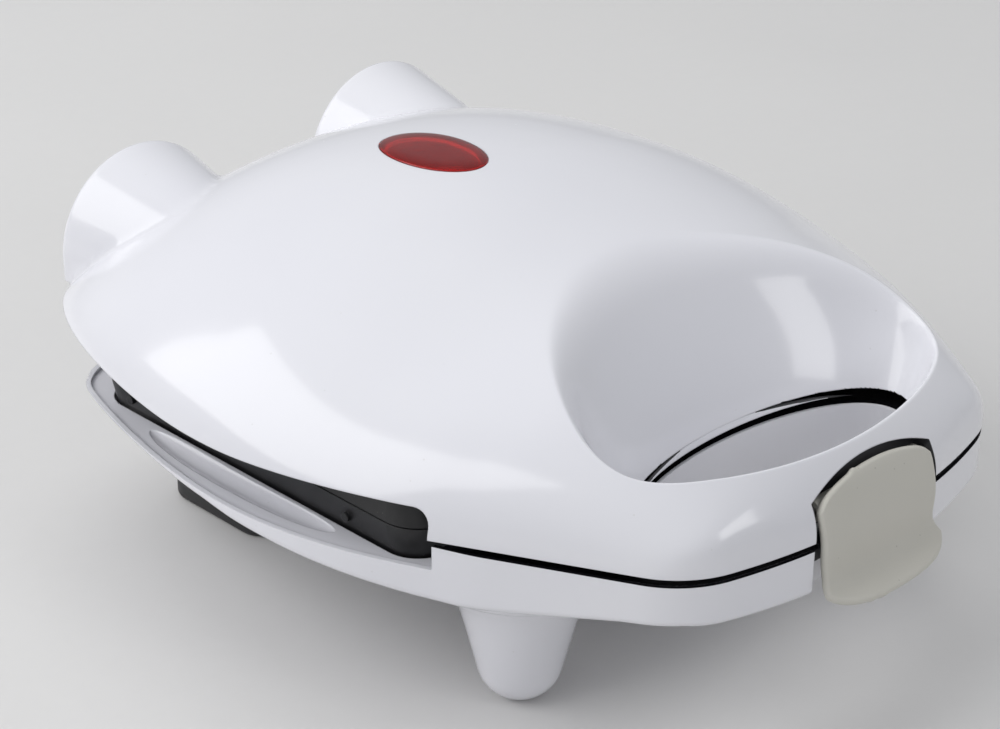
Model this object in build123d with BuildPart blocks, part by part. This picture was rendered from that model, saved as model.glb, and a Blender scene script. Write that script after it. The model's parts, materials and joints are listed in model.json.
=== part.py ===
"""Two-portion sandwich maker: a domed lid with two hollow ears at the back, a shallow base on two legs and a
cord winder, non-stick plates between them, and a grip at the front with a latch.

Millimetres. +Z is up and -Y is the front, where the grip and the latch are. The origin is on the table,
under the middle of the whole outline."""

import os
from math import atan2, degrees, radians, sqrt, tan

from build123d import *

os.makedirs("parts", exist_ok=True)

# Plan of the casings
half_width_max = 114.5  # half the lid's widest width
widest_y = 22.0
shoulder_y = -46.0  # where the side opening ends and the grip begins
shoulder_in = 17.5  # how much further in each side lies there than at the widest
grip_front_y = -119.8
grip_front_radius = 184.0
grip_corner_radius = 30.0
ear_rear_y = 135.5
lid_rear_y = 134.0
base_rear_y = 113.0
base_step_in = 3.0  # the base stays this much inside the lid's outline
base_rear_corner = 14.0
rear_taper_length = 150.0  # length over which the plan would close behind the widest point
rear_taper_power = 2.2
nose_stations = (0.4, 2.0)  # behind the grip's front, where the lid's first sections lie
lid_stations = (
    -114.0, -109.0, -102.0, -93.0, -80.0, -64.0, -46.0, -28.0,
    -10.0, 12.0, 38.0, 64.0, 88.0, 106.0, 119.0, 128.0,
)  # fmt: skip
base_stations = (-108.0, -92.0, -72.0, -46.0, -14.0, 22.0, 56.0, 84.0, 99.0, 108.0)

# Heights
parting_z = 58.5
parting_gap = 2.5
lid_rim_z = 68.0  # lower edge of the lid along the side opening
lid_rim_corner = 5.0
base_rim_z = 50.0
base_bottom_z = 27.0
base_round = 45.0  # width of the stretch where the base's underside curves up to its side
side_turn_z = 47.5  # where the base's side turns under, beside the plates
grip_turn_z = 41.0  # and at the front of the grip
grip_bottom_z = 36.0
grip_rise_y = -38.0  # where the underside starts to rise towards the grip
grip_rise_length = 75.0
least_rise = 1.0  # of a section at the very front
crown_z = 112.0
crown_y = 38.0
crown_front_drop = 8.5  # how much the crown falls before the nose of the grip
crown_ease_length = 71.0  # over which it falls
crown_rear_power = 2.6
nose_length = 65.0
nose_fullness = 1.6

# Walls and fits
wall = 2.5
deck = 3.0  # thickness of the ledge inside each rim
running_gap = 0.05  # radial, round every pin
part_gap = 0.3  # between pieces that must not bind
plate_gap = 0.6  # round each plate where it passes through its casing

# Ears
ear_x = 50.0
ear_axis_z = 74.8
ear_radius = 30.3
ear_taper = 0.22  # radius lost for each millimetre forward
ear_length = 95.0

# Scoop for the fingers and the hole through the grip
hole_y = -83.0
hole_half_width = 51.0
hole_half_depth = 21.0
hole_flare = 4.0  # how much wider the hole is at the underside
scoop_half_width = 64.5
scoop_rear_y = -27.5
scoop_front_y = -108.5
# Levels of the scoop: height over the grip's parting face, shift back from the hole's middle, how much of the
# widening from hole to rim is reached, and how much deeper it is than the hole
scoop_levels = (
    (-6.0, 0.0, -0.04, -1.0),
    (0.0, 0.0, 0.0, 0.0),
    (9.0, 1.5, 0.56, 4.0),
    (19.0, 4.0, 0.89, 8.5),
    (31.0, 6.0, 1.0, 17.0),
    (52.25, 9.0, 1.07, 35.5),
)

# Plates
plate_half_width = 97.0
plate_front_y = -42.0
plate_rear_y = 98.0
plate_corner = 12.0
plate_depth = 15.3
plate_draft = 11.0
plate_seam = 0.4
pocket_depth = 11.5
pocket_margin = 8.0
pocket_ridge = 7.0
pocket_corner = 6.0
pocket_draft = 18.0
center_rib = 16.0
nub_radius = 1.4
nub_ys = (-14.0, 80.0)

# Screws through the plates, and the bosses they go into
plate_screw_ys = (-12.0, 82.0)
plate_screw_radius = 1.75
plate_screw_head = 3.8
plate_screw_head_height = 2.4
plate_screw_grip = 10.0  # length held in the lid's boss
short_screw_grip = 4.0  # and in the base's
boss_radius = 5.0

# Heating
heater_radius = 3.25
heater_seat = 1.2  # how deep the element lies in the plate's back
heater_bend = 16.0
heater_half_width = 60.0
heater_front_y = -24.0
heater_rear_y = 78.0
heater_gate = 24.0  # half the distance between the element's two ends
cold_pin_radius = 1.2
cold_pin_length = 9.0
reflector_step = 8.0  # from the plate's back to the reflector
reflector_sheet = 0.8
reflector_half_width = 68.0
reflector_front_y = -34.0
reflector_rear_y = 90.0
reflector_corner = 6.0
reflector_edge = 4.0
clip_ys = (2.0, 52.0)
clip_width = 8.0
clip_sheet = 1.0
clip_foot = 4.0
lead_radius = 1.0
lead_bend = 4.0
lead_x = 8.0

# Hinge
hinge_x = 50.0
hinge_y = 112.0
hinge_z = 59.0
hinge_pin_radius = 2.5
hinge_pin_head = 4.0
hinge_pin_head_height = 1.5
hinge_eye_radius = 6.0
hinge_half_span = 12.0  # from a bracket's middle to the outside of its cheeks
cheek = 2.0
hinge_foot_y = 100.0
hinge_screw_x = 4.0  # from a bracket's middle
hinge_screw_y = 104.5
hinge_screw_radius = 1.5
hinge_screw_head = 2.8
hinge_screw_head_height = 1.6

# Latch
latch_half_width = 24.6
latch_top_z = 73.2
latch_shoulder_z = 68.4
latch_shoulder_in = 2.0
latch_pivot_y = -113.0
latch_pivot_z = 66.0
latch_pin_radius = 1.5
latch_barrel_radius = 3.0
latch_sheet = 2.6
latch_gap = 1.1
latch_recess_y = -109.4
latch_top_y = -112.8  # places of the sheet's middle line, from the top down to the lip
latch_brow_y = -117.4
latch_brow_z = 64.0
latch_waist_y = -119.3
latch_waist_z = 56.0
latch_valley_y = -119.7
latch_valley_z = 48.2
latch_valley_radius = 6.0
lip_front_y = -135.5
lip_z = 41.0
catch_front_y = -115.4
catch_rear_y = -111.0
catch_z = 52.0
hook_half_width = 10.0
hook_height = 2.6

# Legs and cord winder
leg_x = 68.0
leg_y = -52.0
leg_top_radius = 17.0
leg_foot_radius = 10.0
leg_rounding = 6.5
winder_half_width = 67.0
winder_front_y = 60.0
winder_rear_y = 106.0
winder_flange = 6.0
winder_corner = 9.0
post_half_width = 36.0
post_front_y = 68.0
post_rear_y = 96.0
winder_screw_x = 24.0
winder_screw_y = 82.0
winder_screw_radius = 1.75
winder_screw_head = 3.4
winder_screw_head_height = 2.2
winder_screw_grip = 5.0
winder_bore_radius = 4.2
winder_bore_depth = 10.0

# Indicator
lens_y = 53.5
lens_half_width = 12.4
lens_half_length = 19.6
lens_proud = 0.8
lens_lip = 2.5
lens_sheet = 1.4
lamp_z = 97.5  # top of the strip that holds the lamp
lamp_radius = 2.8
lamp_length = 13.0
lamp_collar_length = 5.0
lamp_collar_wall = 1.2
lamp_strip_width = 10.0
lamp_strip_sheet = 1.5
lamp_post_x = 20.0
lamp_post_radius = 3.0
lamp_screw_radius = 1.2
lamp_screw_head = 2.4
lamp_screw_head_height = 1.4
lamp_screw_grip = 5.0

# Control parts on the back of the upper plate
thermostat_x = -34.0
thermostat_y = 30.0
thermostat_radius = 8.0
thermostat_cap_radius = 6.0
thermostat_cup_height = 3.0
thermostat_height = 5.5
fuse_x = 34.0
fuse_y = 30.0
fuse_radius = 2.0
fuse_length = 26.0
fuse_wire_length = 6.0

# Cord inlet and terminals at the back of the base
inlet_x = 30.0
inlet_z = 39.5
inlet_bore_radius = 3.6
inlet_radius = 5.6
inlet_flange_radius = 7.4
inlet_flange = 1.5
inlet_length = 6.0
terminal_y = 104.5
terminal_length = 30.0
terminal_depth = 9.0
terminal_z = 33.0
terminal_height = 12.0
terminal_screw_radius = 1.8

# Channel in the ledge beside each plate
channel_radius = 4.6
channel_x = 102.0
channel_bow = 1.5
channel_mid_y = 32.0
channel_half_length = 34.0
channel_depth = 1.8

far = 200.0  # reach of the cutting shapes
over = 1.0  # how much deeper a screw's hole is than the screw, and a cut than its face
sides = (-1, 1)
from_below = (Align.CENTER, Align.CENTER, Align.MIN)
from_above = (Align.CENTER, Align.CENTER, Align.MAX)
lid_face_z = parting_z + parting_gap / 2
base_face_z = parting_z - parting_gap / 2
shoulder_half_width = half_width_max - shoulder_in
flank_slope = 2 * shoulder_in / (widest_y - shoulder_y)
plate_face_z = parting_z + plate_seam / 2
plate_back_z = plate_face_z + plate_depth
heater_z = plate_back_z + heater_radius - heater_seat
fuse_z = plate_back_z + fuse_radius + running_gap
reflector_z = plate_back_z + reflector_step
boss_z = reflector_z + reflector_sheet
low_boss_z = 2 * parting_z - boss_z
recess_half_width = latch_half_width + latch_gap
leg_spread = (leg_top_radius - leg_foot_radius) / base_bottom_z


def along_x(x, y, z):
    """A place for a round piece that lies along X."""
    return Location((x, y, z), (0, 90, 0))


def along_y(x, y, z):
    """A place for a round piece that lies along Y, its top towards the front."""
    return Location((x, y, z), (90, 0, 0))


def half_width(y):
    """Half the lid's width at y: a parabola ahead of the widest point that runs on as the grip's straight
    flank, and a superellipse behind it."""
    if y < shoulder_y:
        return shoulder_half_width + flank_slope * (y - shoulder_y)
    if y < widest_y:
        share = (widest_y - y) / (widest_y - shoulder_y)
        return half_width_max - shoulder_in * share**2
    share = (y - widest_y) / rear_taper_length
    return half_width_max * (1 - share**rear_taper_power) ** (1 / rear_taper_power)


def crown(y):
    """Height of the lid's middle line at y: a superellipse behind the summit, and ahead of it a gentle fall
    that ends in a round nose."""
    rise = crown_z - parting_z
    if y > crown_y:
        share = (y - crown_y) / (ear_rear_y - crown_y)
        return parting_z + rise * (1 - share**crown_rear_power) ** (1 / rear_taper_power)
    ease = min((crown_y - y) / crown_ease_length, 1)
    rise -= crown_front_drop * ease * ease * (3 - 2 * ease)
    share = max(1 - (y - grip_front_y) / nose_length, 0)
    return parting_z + rise * (1 - share**2) ** (1 / nose_fullness)


def base_half_width(y):
    """Half the base's width at y, with rounded corners at the back."""
    past = max(y - (base_rear_y - base_rear_corner), 0)
    return half_width(y) - base_step_in - base_rear_corner + sqrt(base_rear_corner**2 - past**2)


def base_turn_z(y):
    """Height at which the base's side turns under."""
    share = min(max(y / grip_front_y, 0), 1)
    return side_turn_z - (side_turn_z - grip_turn_z) * share


def base_floor_z(y):
    """Height of the base's underside at y: flat, rising under the grip and round the back edge."""
    ahead = min(max((grip_rise_y - y) / grip_rise_length, 0), 1)
    past = max(y - (base_rear_y - base_rear_corner), 0)
    turn = base_rear_corner - sqrt(base_rear_corner**2 - past**2)
    rise = (grip_bottom_z - base_bottom_z) * ahead * ahead * (3 - 2 * ahead)
    return base_bottom_z + rise + turn / 2


def drafted(z):
    """How far a plate's side has drawn in at height z."""
    return (abs(z - parting_z) - plate_seam / 2) * tan(radians(plate_draft))


def plan_trim(inset):
    """The grip's plan: straight flanks, rounded corners and a gently bowed front, running on past the back."""
    front_y = grip_front_y + inset
    corner_drop = grip_front_radius - sqrt(grip_front_radius**2 - half_width(grip_front_y) ** 2)
    side_y = front_y + corner_drop
    with BuildSketch() as plan:
        with BuildLine():
            front = ThreePointArc(
                (-half_width(side_y) + inset, side_y), (0, front_y), (half_width(side_y) - inset, side_y)
            )
            back = half_width(side_y) - inset + flank_slope * (far - side_y)
            Polyline(front @ 1, (back, far), (-back, far), front @ 0)
        make_face()
        fillet(plan.vertices().group_by(Axis.Y)[0], grip_corner_radius - inset)
    return plan.sketch


def lid_core(inset):
    """The lid's domed body, drawn in by inset on every side."""
    nose = [grip_front_y + inset + station for station in nose_stations]
    with BuildPart() as core:
        for y in (*nose, *lid_stations, lid_rear_y - inset):
            rise = crown(y - inset if y in nose else y) - parting_z - inset
            with BuildSketch(Plane.XZ.offset(-y)):
                with BuildLine():
                    arch = EllipticalCenterArc(
                        (0, parting_z), half_width(y) - inset, max(rise, least_rise), 0, arc_size=180
                    )
                    Line(arch @ 1, arch @ 0)
                make_face()
        loft()
        extrude(plan_trim(inset), amount=far, mode=Mode.INTERSECT)
    return core.part


def base_core(inset):
    """The base's bowl, drawn in by inset on every side but the top."""
    front_y = grip_front_y + base_step_in + inset
    with BuildPart() as core:
        for y in (front_y, *base_stations, base_rear_y - inset):
            side = base_half_width(y) - inset
            flat = side - (base_round - inset)
            turn_z = base_turn_z(y)
            depth = turn_z - base_floor_z(y) - inset
            with BuildSketch(Plane.XZ.offset(-y)):
                with BuildLine():
                    left = EllipticalCenterArc((-flat, turn_z), side - flat, depth, 180, arc_size=90)
                    right = EllipticalCenterArc((flat, turn_z), side - flat, depth, 270, arc_size=90)
                    Line(left @ 1, right @ 0)
                    Polyline(right @ 1, (side, base_face_z), (-side, base_face_z), left @ 0)
                make_face()
        loft()
        extrude(plan_trim(inset + base_step_in), amount=far, mode=Mode.INTERSECT)
        split(bisect_by=Plane.XY.offset(base_bottom_z + inset))
    return core.part


def step_cut(grip_z, rim_z, toward, back_by=0.0, corner=0.0):
    """Everything past a casing's lower or upper edge: one height along the grip, another along the sides."""
    step_y = shoulder_y - back_by
    with BuildPart() as cut:
        with BuildSketch(Plane.YZ) as profile:
            with BuildLine():
                Polyline(
                    (-far, toward * far), (-far, grip_z), (step_y, grip_z),
                    (step_y, rim_z), (far, rim_z), (far, toward * far), close=True,
                )  # fmt: skip
            make_face()
            if corner:
                step = profile.vertices().sort_by_distance((0, step_y, rim_z))[0]
                fillet(step, corner)
        extrude(amount=far, both=True)
    return cut.part


def scoop_core(grow):
    """The scoop as a stack of ellipses, from the hole at the grip's parting face up to its wide open rim."""
    with BuildPart() as core:
        for height, back, widening, deepening in scoop_levels:
            half_x = hole_half_width + widening * (scoop_half_width - hole_half_width)
            with BuildSketch(Plane.XY.offset(lid_face_z + height)):
                with Locations((0, hole_y + back)):
                    Ellipse(half_x + grow, hole_half_depth + deepening + grow)
        loft()
    return core.part


def hole_core(grow):
    """The hole through the base's half of the grip, a little wider at the underside."""
    with BuildPart() as core:
        for z, flare in ((base_face_z + over, 0.0), (base_bottom_z - wall, hole_flare)):
            with BuildSketch(Plane.XY.offset(z)):
                with Locations((0, hole_y)):
                    Ellipse(hole_half_width + flare + grow, hole_half_depth + flare + grow)
        loft()
    return core.part


def plate_outline(grow):
    """A plate's rounded rectangle in plan."""
    with BuildSketch() as outline:
        with Locations((0, (plate_front_y + plate_rear_y) / 2)):
            RectangleRounded(
                2 * (plate_half_width + grow), plate_rear_y - plate_front_y + 2 * grow, plate_corner + grow
            )
    return outline.sketch


def pocket_outline(side):
    """One portion's recess, split into two triangles by a diagonal ridge."""
    width = plate_half_width - pocket_margin - center_rib / 2
    length = plate_rear_y - plate_front_y - 2 * pocket_margin
    lean = degrees(atan2(width, length))
    with BuildSketch() as pocket:
        with Locations((side * (center_rib + width) / 2, (plate_front_y + plate_rear_y) / 2)):
            Rectangle(width, length)
            Rectangle(pocket_ridge, 2 * length, rotation=side * lean, mode=Mode.SUBTRACT)
        fillet(pocket.vertices(), pocket_corner)
    return pocket.sketch


def latch_outline(plane, grow):
    """The latch's front view: straight sides up to the shoulders and an arched top."""
    edge = latch_half_width + grow
    with BuildSketch(plane) as outline:
        with BuildLine():
            shoulder = edge - latch_shoulder_in
            side_z = latch_shoulder_z + grow
            top = ThreePointArc((shoulder, side_z), (0, latch_top_z + grow), (-shoulder, side_z))
            Polyline(top @ 1, (-edge, lid_face_z), (-edge, 0), (edge, 0), (edge, lid_face_z), top @ 0)
        make_face()
    return outline.sketch


def lens_column(grow, under):
    """The part of a body that lies over the lens's ellipse."""
    with BuildPart() as column:
        with BuildSketch(Plane.XY.offset(lamp_z)):
            with Locations((0, lens_y)):
                Ellipse(lens_half_width + grow, lens_half_length + grow)
        extrude(amount=far)
        add(under, mode=Mode.INTERSECT)
    return column.part


def tube(line, radius):
    """A round rod along a line."""
    with BuildPart() as rod:
        with BuildSketch(Plane(origin=line @ 0, z_dir=line % 0)):
            Circle(radius)
        sweep(path=line)
    return rod.part


def run(*points, bend=lead_bend):
    """A line through points with rounded corners."""
    with BuildLine() as line:
        FilletPolyline(*points, radius=bend)
    return line.wire()


def strap(x, y, axis_z, radius):
    """A bent strip, with a foot on each side, over a rod that lies along Y on the upper plate's back."""
    inner = radius + part_gap / 3
    outer = inner + clip_sheet
    on_back = (Align.CENTER, Align.MIN)
    with BuildPart() as band:
        with BuildSketch(Plane.XZ.offset(-y)):
            for size, mode in ((outer, Mode.ADD), (inner, Mode.SUBTRACT)):
                with Locations((x, axis_z)):
                    Circle(size, mode=mode)
                with Locations((x, plate_back_z)):
                    Rectangle(2 * size, axis_z - plate_back_z, align=on_back, mode=mode)
            with Locations((x, plate_back_z)):
                Rectangle(far, far, align=(Align.CENTER, Align.MAX), mode=Mode.SUBTRACT)
            with Locations(*[(x + side * (outer + clip_foot / 2), plate_back_z) for side in sides]):
                Rectangle(clip_foot + clip_sheet, clip_sheet, align=on_back)
        extrude(amount=clip_width / 2, both=True)
    return band.part


def screws(places, seat_z, toward, radius, length, head_radius, head_height):
    """Pan-head screws: the shanks run from seat_z up or down into what they hold."""
    with BuildPart() as group:
        with Locations(*[(x, y, seat_z) for x, y in places]):
            Cylinder(radius, length, align=from_below if toward > 0 else from_above)
            Cylinder(head_radius, head_height, align=from_above if toward > 0 else from_below)
    return group.part


def hinge_brackets(half_span, foot_z, up, foot_rear_y, eye_hole):
    """A pair of bent brackets: a foot screwed to a casing's ledge and two cheeks that reach to the pin."""
    with BuildPart() as pair:
        for side in sides:
            for cheek_side in sides:
                cheek_x = side * hinge_x + cheek_side * (half_span - cheek / 2)
                with BuildSketch(Plane.YZ.offset(cheek_x)):
                    with Locations((hinge_y, hinge_z)):
                        Circle(hinge_eye_radius)
                    with BuildLine():
                        Polyline(
                            (hinge_foot_y, foot_z), (foot_rear_y, foot_z),
                            (hinge_y + hinge_eye_radius, hinge_z), (hinge_y - hinge_eye_radius, hinge_z),
                            close=True,
                        )  # fmt: skip
                    make_face()
                extrude(amount=cheek / 2, both=True)
            with Locations((side * hinge_x, hinge_foot_y, foot_z)):
                Box(
                    2 * half_span, foot_rear_y - hinge_foot_y, cheek,
                    align=(Align.CENTER, Align.MIN, Align.MIN if up > 0 else Align.MAX),
                )  # fmt: skip
        with Locations(along_x(0, hinge_y, hinge_z)):
            Cylinder(eye_hole, 2 * far, mode=Mode.SUBTRACT)
        with Locations(*[(x, y, foot_z) for x, y in hinge_screw_places]):
            Cylinder(hinge_screw_radius + running_gap, 3 * cheek, mode=Mode.SUBTRACT)
    return pair.part


def plate_screws(grip):
    """Countersunk screws through the upper plate, held over a length of grip in the casing's bosses."""
    with BuildPart() as group:
        with Locations(*[(0, y, plate_face_z + part_gap) for y in plate_screw_ys]):
            Cylinder(plate_screw_radius, boss_z + grip - plate_face_z - part_gap, align=from_below)
            Cone(plate_screw_head, plate_screw_radius, plate_screw_head_height, align=from_below)
    return group.part


def turned_over(piece):
    """The base's copy of a piece of the lid."""
    with BuildPart() as copy:
        mirror(piece.part, about=Plane.XY.offset(parting_z))
    return copy


hinge_screw_places = [
    (side * hinge_x + half * hinge_screw_x, hinge_screw_y) for side in sides for half in sides
]
heater_line = run(
    (-heater_gate, heater_rear_y, heater_z), (-heater_half_width, heater_rear_y, heater_z),
    (-heater_half_width, heater_front_y, heater_z), (heater_half_width, heater_front_y, heater_z),
    (heater_half_width, heater_rear_y, heater_z), (heater_gate, heater_rear_y, heater_z), bend=heater_bend,
)  # fmt: skip
lid_outer = lid_core(0)
base_outer = base_core(0)
lid_skirt_cut = step_cut(lid_face_z, lid_rim_z, -1, corner=lid_rim_corner)
lid_deck_cut = step_cut(lid_face_z + deck, lid_rim_z + deck, -1, back_by=wall)
base_skirt_cut = step_cut(base_face_z, base_rim_z, 1)
base_deck_cut = step_cut(base_face_z - deck, base_rim_z - deck, 1, back_by=wall)

# Lid casing: dome, ears, scoop, upper half of the grip and its latch recess
with BuildPart() as lid_inside:
    add(scoop_core(wall))
    with Locations(*[(0, y, boss_z) for y in plate_screw_ys]):
        Cylinder(boss_radius, crown_z - boss_z, align=from_below)
    with Locations(*[(side * lamp_post_x, lens_y, lamp_z) for side in sides]):
        Cylinder(lamp_post_radius, crown_z - lamp_z, align=from_below)
    with Locations((0, latch_recess_y + wall, lid_face_z)):
        Box(
            2 * (recess_half_width + wall), latch_recess_y + wall - grip_front_y,
            latch_top_z + latch_gap + wall - lid_face_z, align=(Align.CENTER, Align.MAX, Align.MIN),
        )  # fmt: skip
    add(lid_outer, mode=Mode.INTERSECT)
with BuildPart() as lid_cavity:
    add(lid_core(wall))
    with Locations(*[along_y(side * ear_x, ear_rear_y - wall, ear_axis_z) for side in sides]):
        Cone(ear_radius - wall, ear_radius - wall - ear_taper * ear_length, ear_length, align=from_below)
    add(lid_deck_cut, mode=Mode.SUBTRACT)
with BuildPart() as upper_shell:
    add(lid_outer)
    with Locations(*[along_y(side * ear_x, ear_rear_y, ear_axis_z) for side in sides]):
        Cone(ear_radius, ear_radius - ear_taper * ear_length, ear_length, align=from_below)
    add(lid_cavity.part, mode=Mode.SUBTRACT)
    add(lid_inside.part)
    add(scoop_core(0), mode=Mode.SUBTRACT)
    add(lid_skirt_cut, mode=Mode.SUBTRACT)
    extrude(plate_outline(plate_gap - drafted(lid_rim_z)), amount=lid_rim_z + deck, mode=Mode.SUBTRACT)
    extrude(latch_outline(Plane.XZ.offset(-latch_recess_y), latch_gap), amount=far, mode=Mode.SUBTRACT)
    with BuildSketch(Plane.XY.offset(lamp_z)):
        with Locations((0, lens_y)):
            Ellipse(lens_half_width + part_gap / 2, lens_half_length + part_gap / 2)
    extrude(amount=far, mode=Mode.SUBTRACT)
    with Locations(*[(0, y, boss_z) for y in plate_screw_ys]):
        Cylinder(plate_screw_radius, plate_screw_grip + over, align=from_below, mode=Mode.SUBTRACT)
    with Locations(*[(side * lamp_post_x, lens_y, lamp_z) for side in sides]):
        Cylinder(lamp_screw_radius, lamp_screw_grip + over, align=from_below, mode=Mode.SUBTRACT)
    with Locations(along_x(0, latch_pivot_y, latch_pivot_z)):
        Cylinder(latch_pin_radius, 2 * recess_half_width + wall, mode=Mode.SUBTRACT)
    with Locations(*[(x, y, lid_rim_z) for x, y in hinge_screw_places]):
        Cylinder(hinge_screw_radius, deck, align=from_below, mode=Mode.SUBTRACT)

# Base casing: bowl, ledge, front legs, lower half of the grip and the catch for the latch
with BuildPart() as leg:
    Cone(leg_foot_radius, leg_foot_radius + leg_spread * grip_turn_z, grip_turn_z, align=from_below)
    fillet(leg.edges().group_by(Axis.Z)[0], leg_rounding)
with BuildPart() as base_inside:
    add(hole_core(wall))
    with Locations(*[(0, y, base_bottom_z) for y in plate_screw_ys]):
        Cylinder(boss_radius, low_boss_z - base_bottom_z, align=from_below)
    with Locations(*[(side * winder_screw_x, winder_screw_y, base_bottom_z) for side in sides]):
        Cylinder(boss_radius, low_boss_z - base_bottom_z - part_gap, align=from_below)
    with Locations((0, terminal_y, base_bottom_z)):
        Box(terminal_length, terminal_depth, terminal_z - base_bottom_z, align=from_below)
    with Locations((0, catch_rear_y + wall, base_bottom_z)):
        Box(
            2 * (recess_half_width + wall), catch_rear_y + wall - grip_front_y, base_face_z - base_bottom_z,
            align=(Align.CENTER, Align.MAX, Align.MIN),
        )  # fmt: skip
    add(base_outer, mode=Mode.INTERSECT)
with BuildPart() as base_cavity:
    add(base_core(wall))
    add(base_deck_cut, mode=Mode.SUBTRACT)
with BuildPart() as lower_shell:
    add(base_outer)
    with Locations(*[(side * leg_x, leg_y, 0) for side in sides]):
        add(leg.part)
    add(base_cavity.part, mode=Mode.SUBTRACT)
    with Locations(*[(side * leg_x, leg_y, leg_rounding) for side in sides]):
        hollow_height = grip_turn_z - leg_rounding
        hollow = leg_foot_radius + leg_spread * leg_rounding - wall
        Cone(
            hollow, hollow + leg_spread * hollow_height, hollow_height,
            align=from_below, mode=Mode.SUBTRACT,
        )  # fmt: skip
    add(base_inside.part)
    add(hole_core(0), mode=Mode.SUBTRACT)
    add(base_skirt_cut, mode=Mode.SUBTRACT)
    with BuildSketch(Plane.XY.offset(base_rim_z - deck - over)):
        add(plate_outline(plate_gap - drafted(base_rim_z)))
    extrude(amount=far, mode=Mode.SUBTRACT)
    for low_z, high_z, rear_y in ((0, catch_z, catch_rear_y), (catch_z, far, catch_front_y)):
        with Locations((0, rear_y, low_z)):
            Box(
                2 * recess_half_width, far, high_z - low_z,
                align=(Align.CENTER, Align.MAX, Align.MIN), mode=Mode.SUBTRACT,
            )  # fmt: skip
    for side in sides:
        with BuildLine(Plane.XY.offset(base_rim_z + channel_radius - channel_depth)) as channel:
            ends = [(side * channel_x, channel_mid_y + half * channel_half_length) for half in sides]
            ThreePointArc(ends[0], (side * (channel_x + channel_bow), channel_mid_y), ends[1])
        with BuildSketch(Plane(origin=channel.edge() @ 0, z_dir=channel.edge() % 0)):
            Circle(channel_radius)
        sweep(path=channel.edge(), mode=Mode.SUBTRACT)
        with Locations(channel.edge() @ 0, channel.edge() @ 1):
            Sphere(channel_radius, mode=Mode.SUBTRACT)
    with Locations(*[(0, y, low_boss_z) for y in plate_screw_ys]):
        Cylinder(plate_screw_radius, short_screw_grip + over, align=from_above, mode=Mode.SUBTRACT)
    with Locations(*[(side * winder_screw_x, winder_screw_y, base_bottom_z) for side in sides]):
        Cylinder(winder_screw_radius, winder_screw_grip + over, align=from_below, mode=Mode.SUBTRACT)
    with Locations(along_y(inlet_x, base_rear_y, inlet_z)):
        Cylinder(inlet_radius + running_gap, 4 * wall, mode=Mode.SUBTRACT)
    with Locations(*[(x, y, base_rim_z) for x, y in hinge_screw_places]):
        Cylinder(hinge_screw_radius, deck, align=from_above, mode=Mode.SUBTRACT)

# Upper plate with its pockets, drip nubs, and bosses that hold the reflector off
with BuildPart() as upper_plate:
    with BuildSketch(Plane.XY.offset(plate_face_z)):
        add(plate_outline(0))
    extrude(amount=plate_depth, taper=plate_draft)
    with BuildSketch(Plane.XY.offset(plate_face_z)):
        for side in sides:
            add(pocket_outline(side))
    extrude(amount=pocket_depth, taper=pocket_draft, mode=Mode.SUBTRACT)
    with Locations(*[(0, y, plate_back_z) for y in plate_screw_ys]):
        Cylinder(boss_radius, reflector_step, align=from_below)
    nub_z = parting_z + plate_depth / 3
    nub_x = plate_half_width - drafted(nub_z)
    with Locations(*[along_x(side * nub_x, y, nub_z) for side in sides for y in nub_ys]):
        Cylinder(nub_radius, 2 * nub_radius)
    with Locations(*[(0, y, plate_face_z) for y in plate_screw_ys]):
        Cylinder(plate_screw_radius + running_gap, far, mode=Mode.SUBTRACT)
        Cylinder(plate_screw_head + running_gap, part_gap, align=from_below, mode=Mode.SUBTRACT)
    with Locations(*[(0, y, plate_face_z + part_gap) for y in plate_screw_ys]):
        Cone(
            plate_screw_head + running_gap, plate_screw_radius + running_gap, plate_screw_head_height,
            align=from_below, mode=Mode.SUBTRACT,
        )  # fmt: skip
    add(tube(heater_line, heater_radius + part_gap / 3), mode=Mode.SUBTRACT)

# Tubular element on the plate's back, with a cold pin at each end, and the clips that hold it
with BuildPart() as upper_heater:
    add(tube(heater_line, heater_radius))
    cold_pin_x = heater_gate - cold_pin_length / 2
    with Locations(*[along_x(side * cold_pin_x, heater_rear_y, heater_z) for side in sides]):
        Cylinder(cold_pin_radius, cold_pin_length)
with BuildPart() as upper_heater_clips:
    for side in sides:
        for y in clip_ys:
            add(strap(side * heater_half_width, y, heater_z, heater_radius))

# Reflector: a shallow tray over the element
with BuildPart() as upper_reflector:
    for inset, height, mode in (
        (0, reflector_edge + reflector_sheet, Mode.ADD),
        (reflector_sheet, reflector_edge, Mode.SUBTRACT),
    ):
        with BuildSketch(Plane.XY.offset(reflector_z - reflector_edge)):
            with Locations((0, (reflector_front_y + reflector_rear_y) / 2)):
                RectangleRounded(
                    2 * (reflector_half_width - inset), reflector_rear_y - reflector_front_y - 2 * inset,
                    reflector_corner - inset,
                )  # fmt: skip
        extrude(amount=height, mode=mode)
    with Locations(*[(0, y, reflector_z) for y in plate_screw_ys]):
        Cylinder(plate_screw_radius + running_gap, 3 * reflector_sheet, mode=Mode.SUBTRACT)

# Countersunk screws from each plate's face into its casing's bosses, shorter in the shallow base
with BuildPart() as upper_plate_screws:
    add(plate_screws(plate_screw_grip))
with BuildPart() as short_plate_screws:
    add(plate_screws(short_screw_grip))

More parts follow.
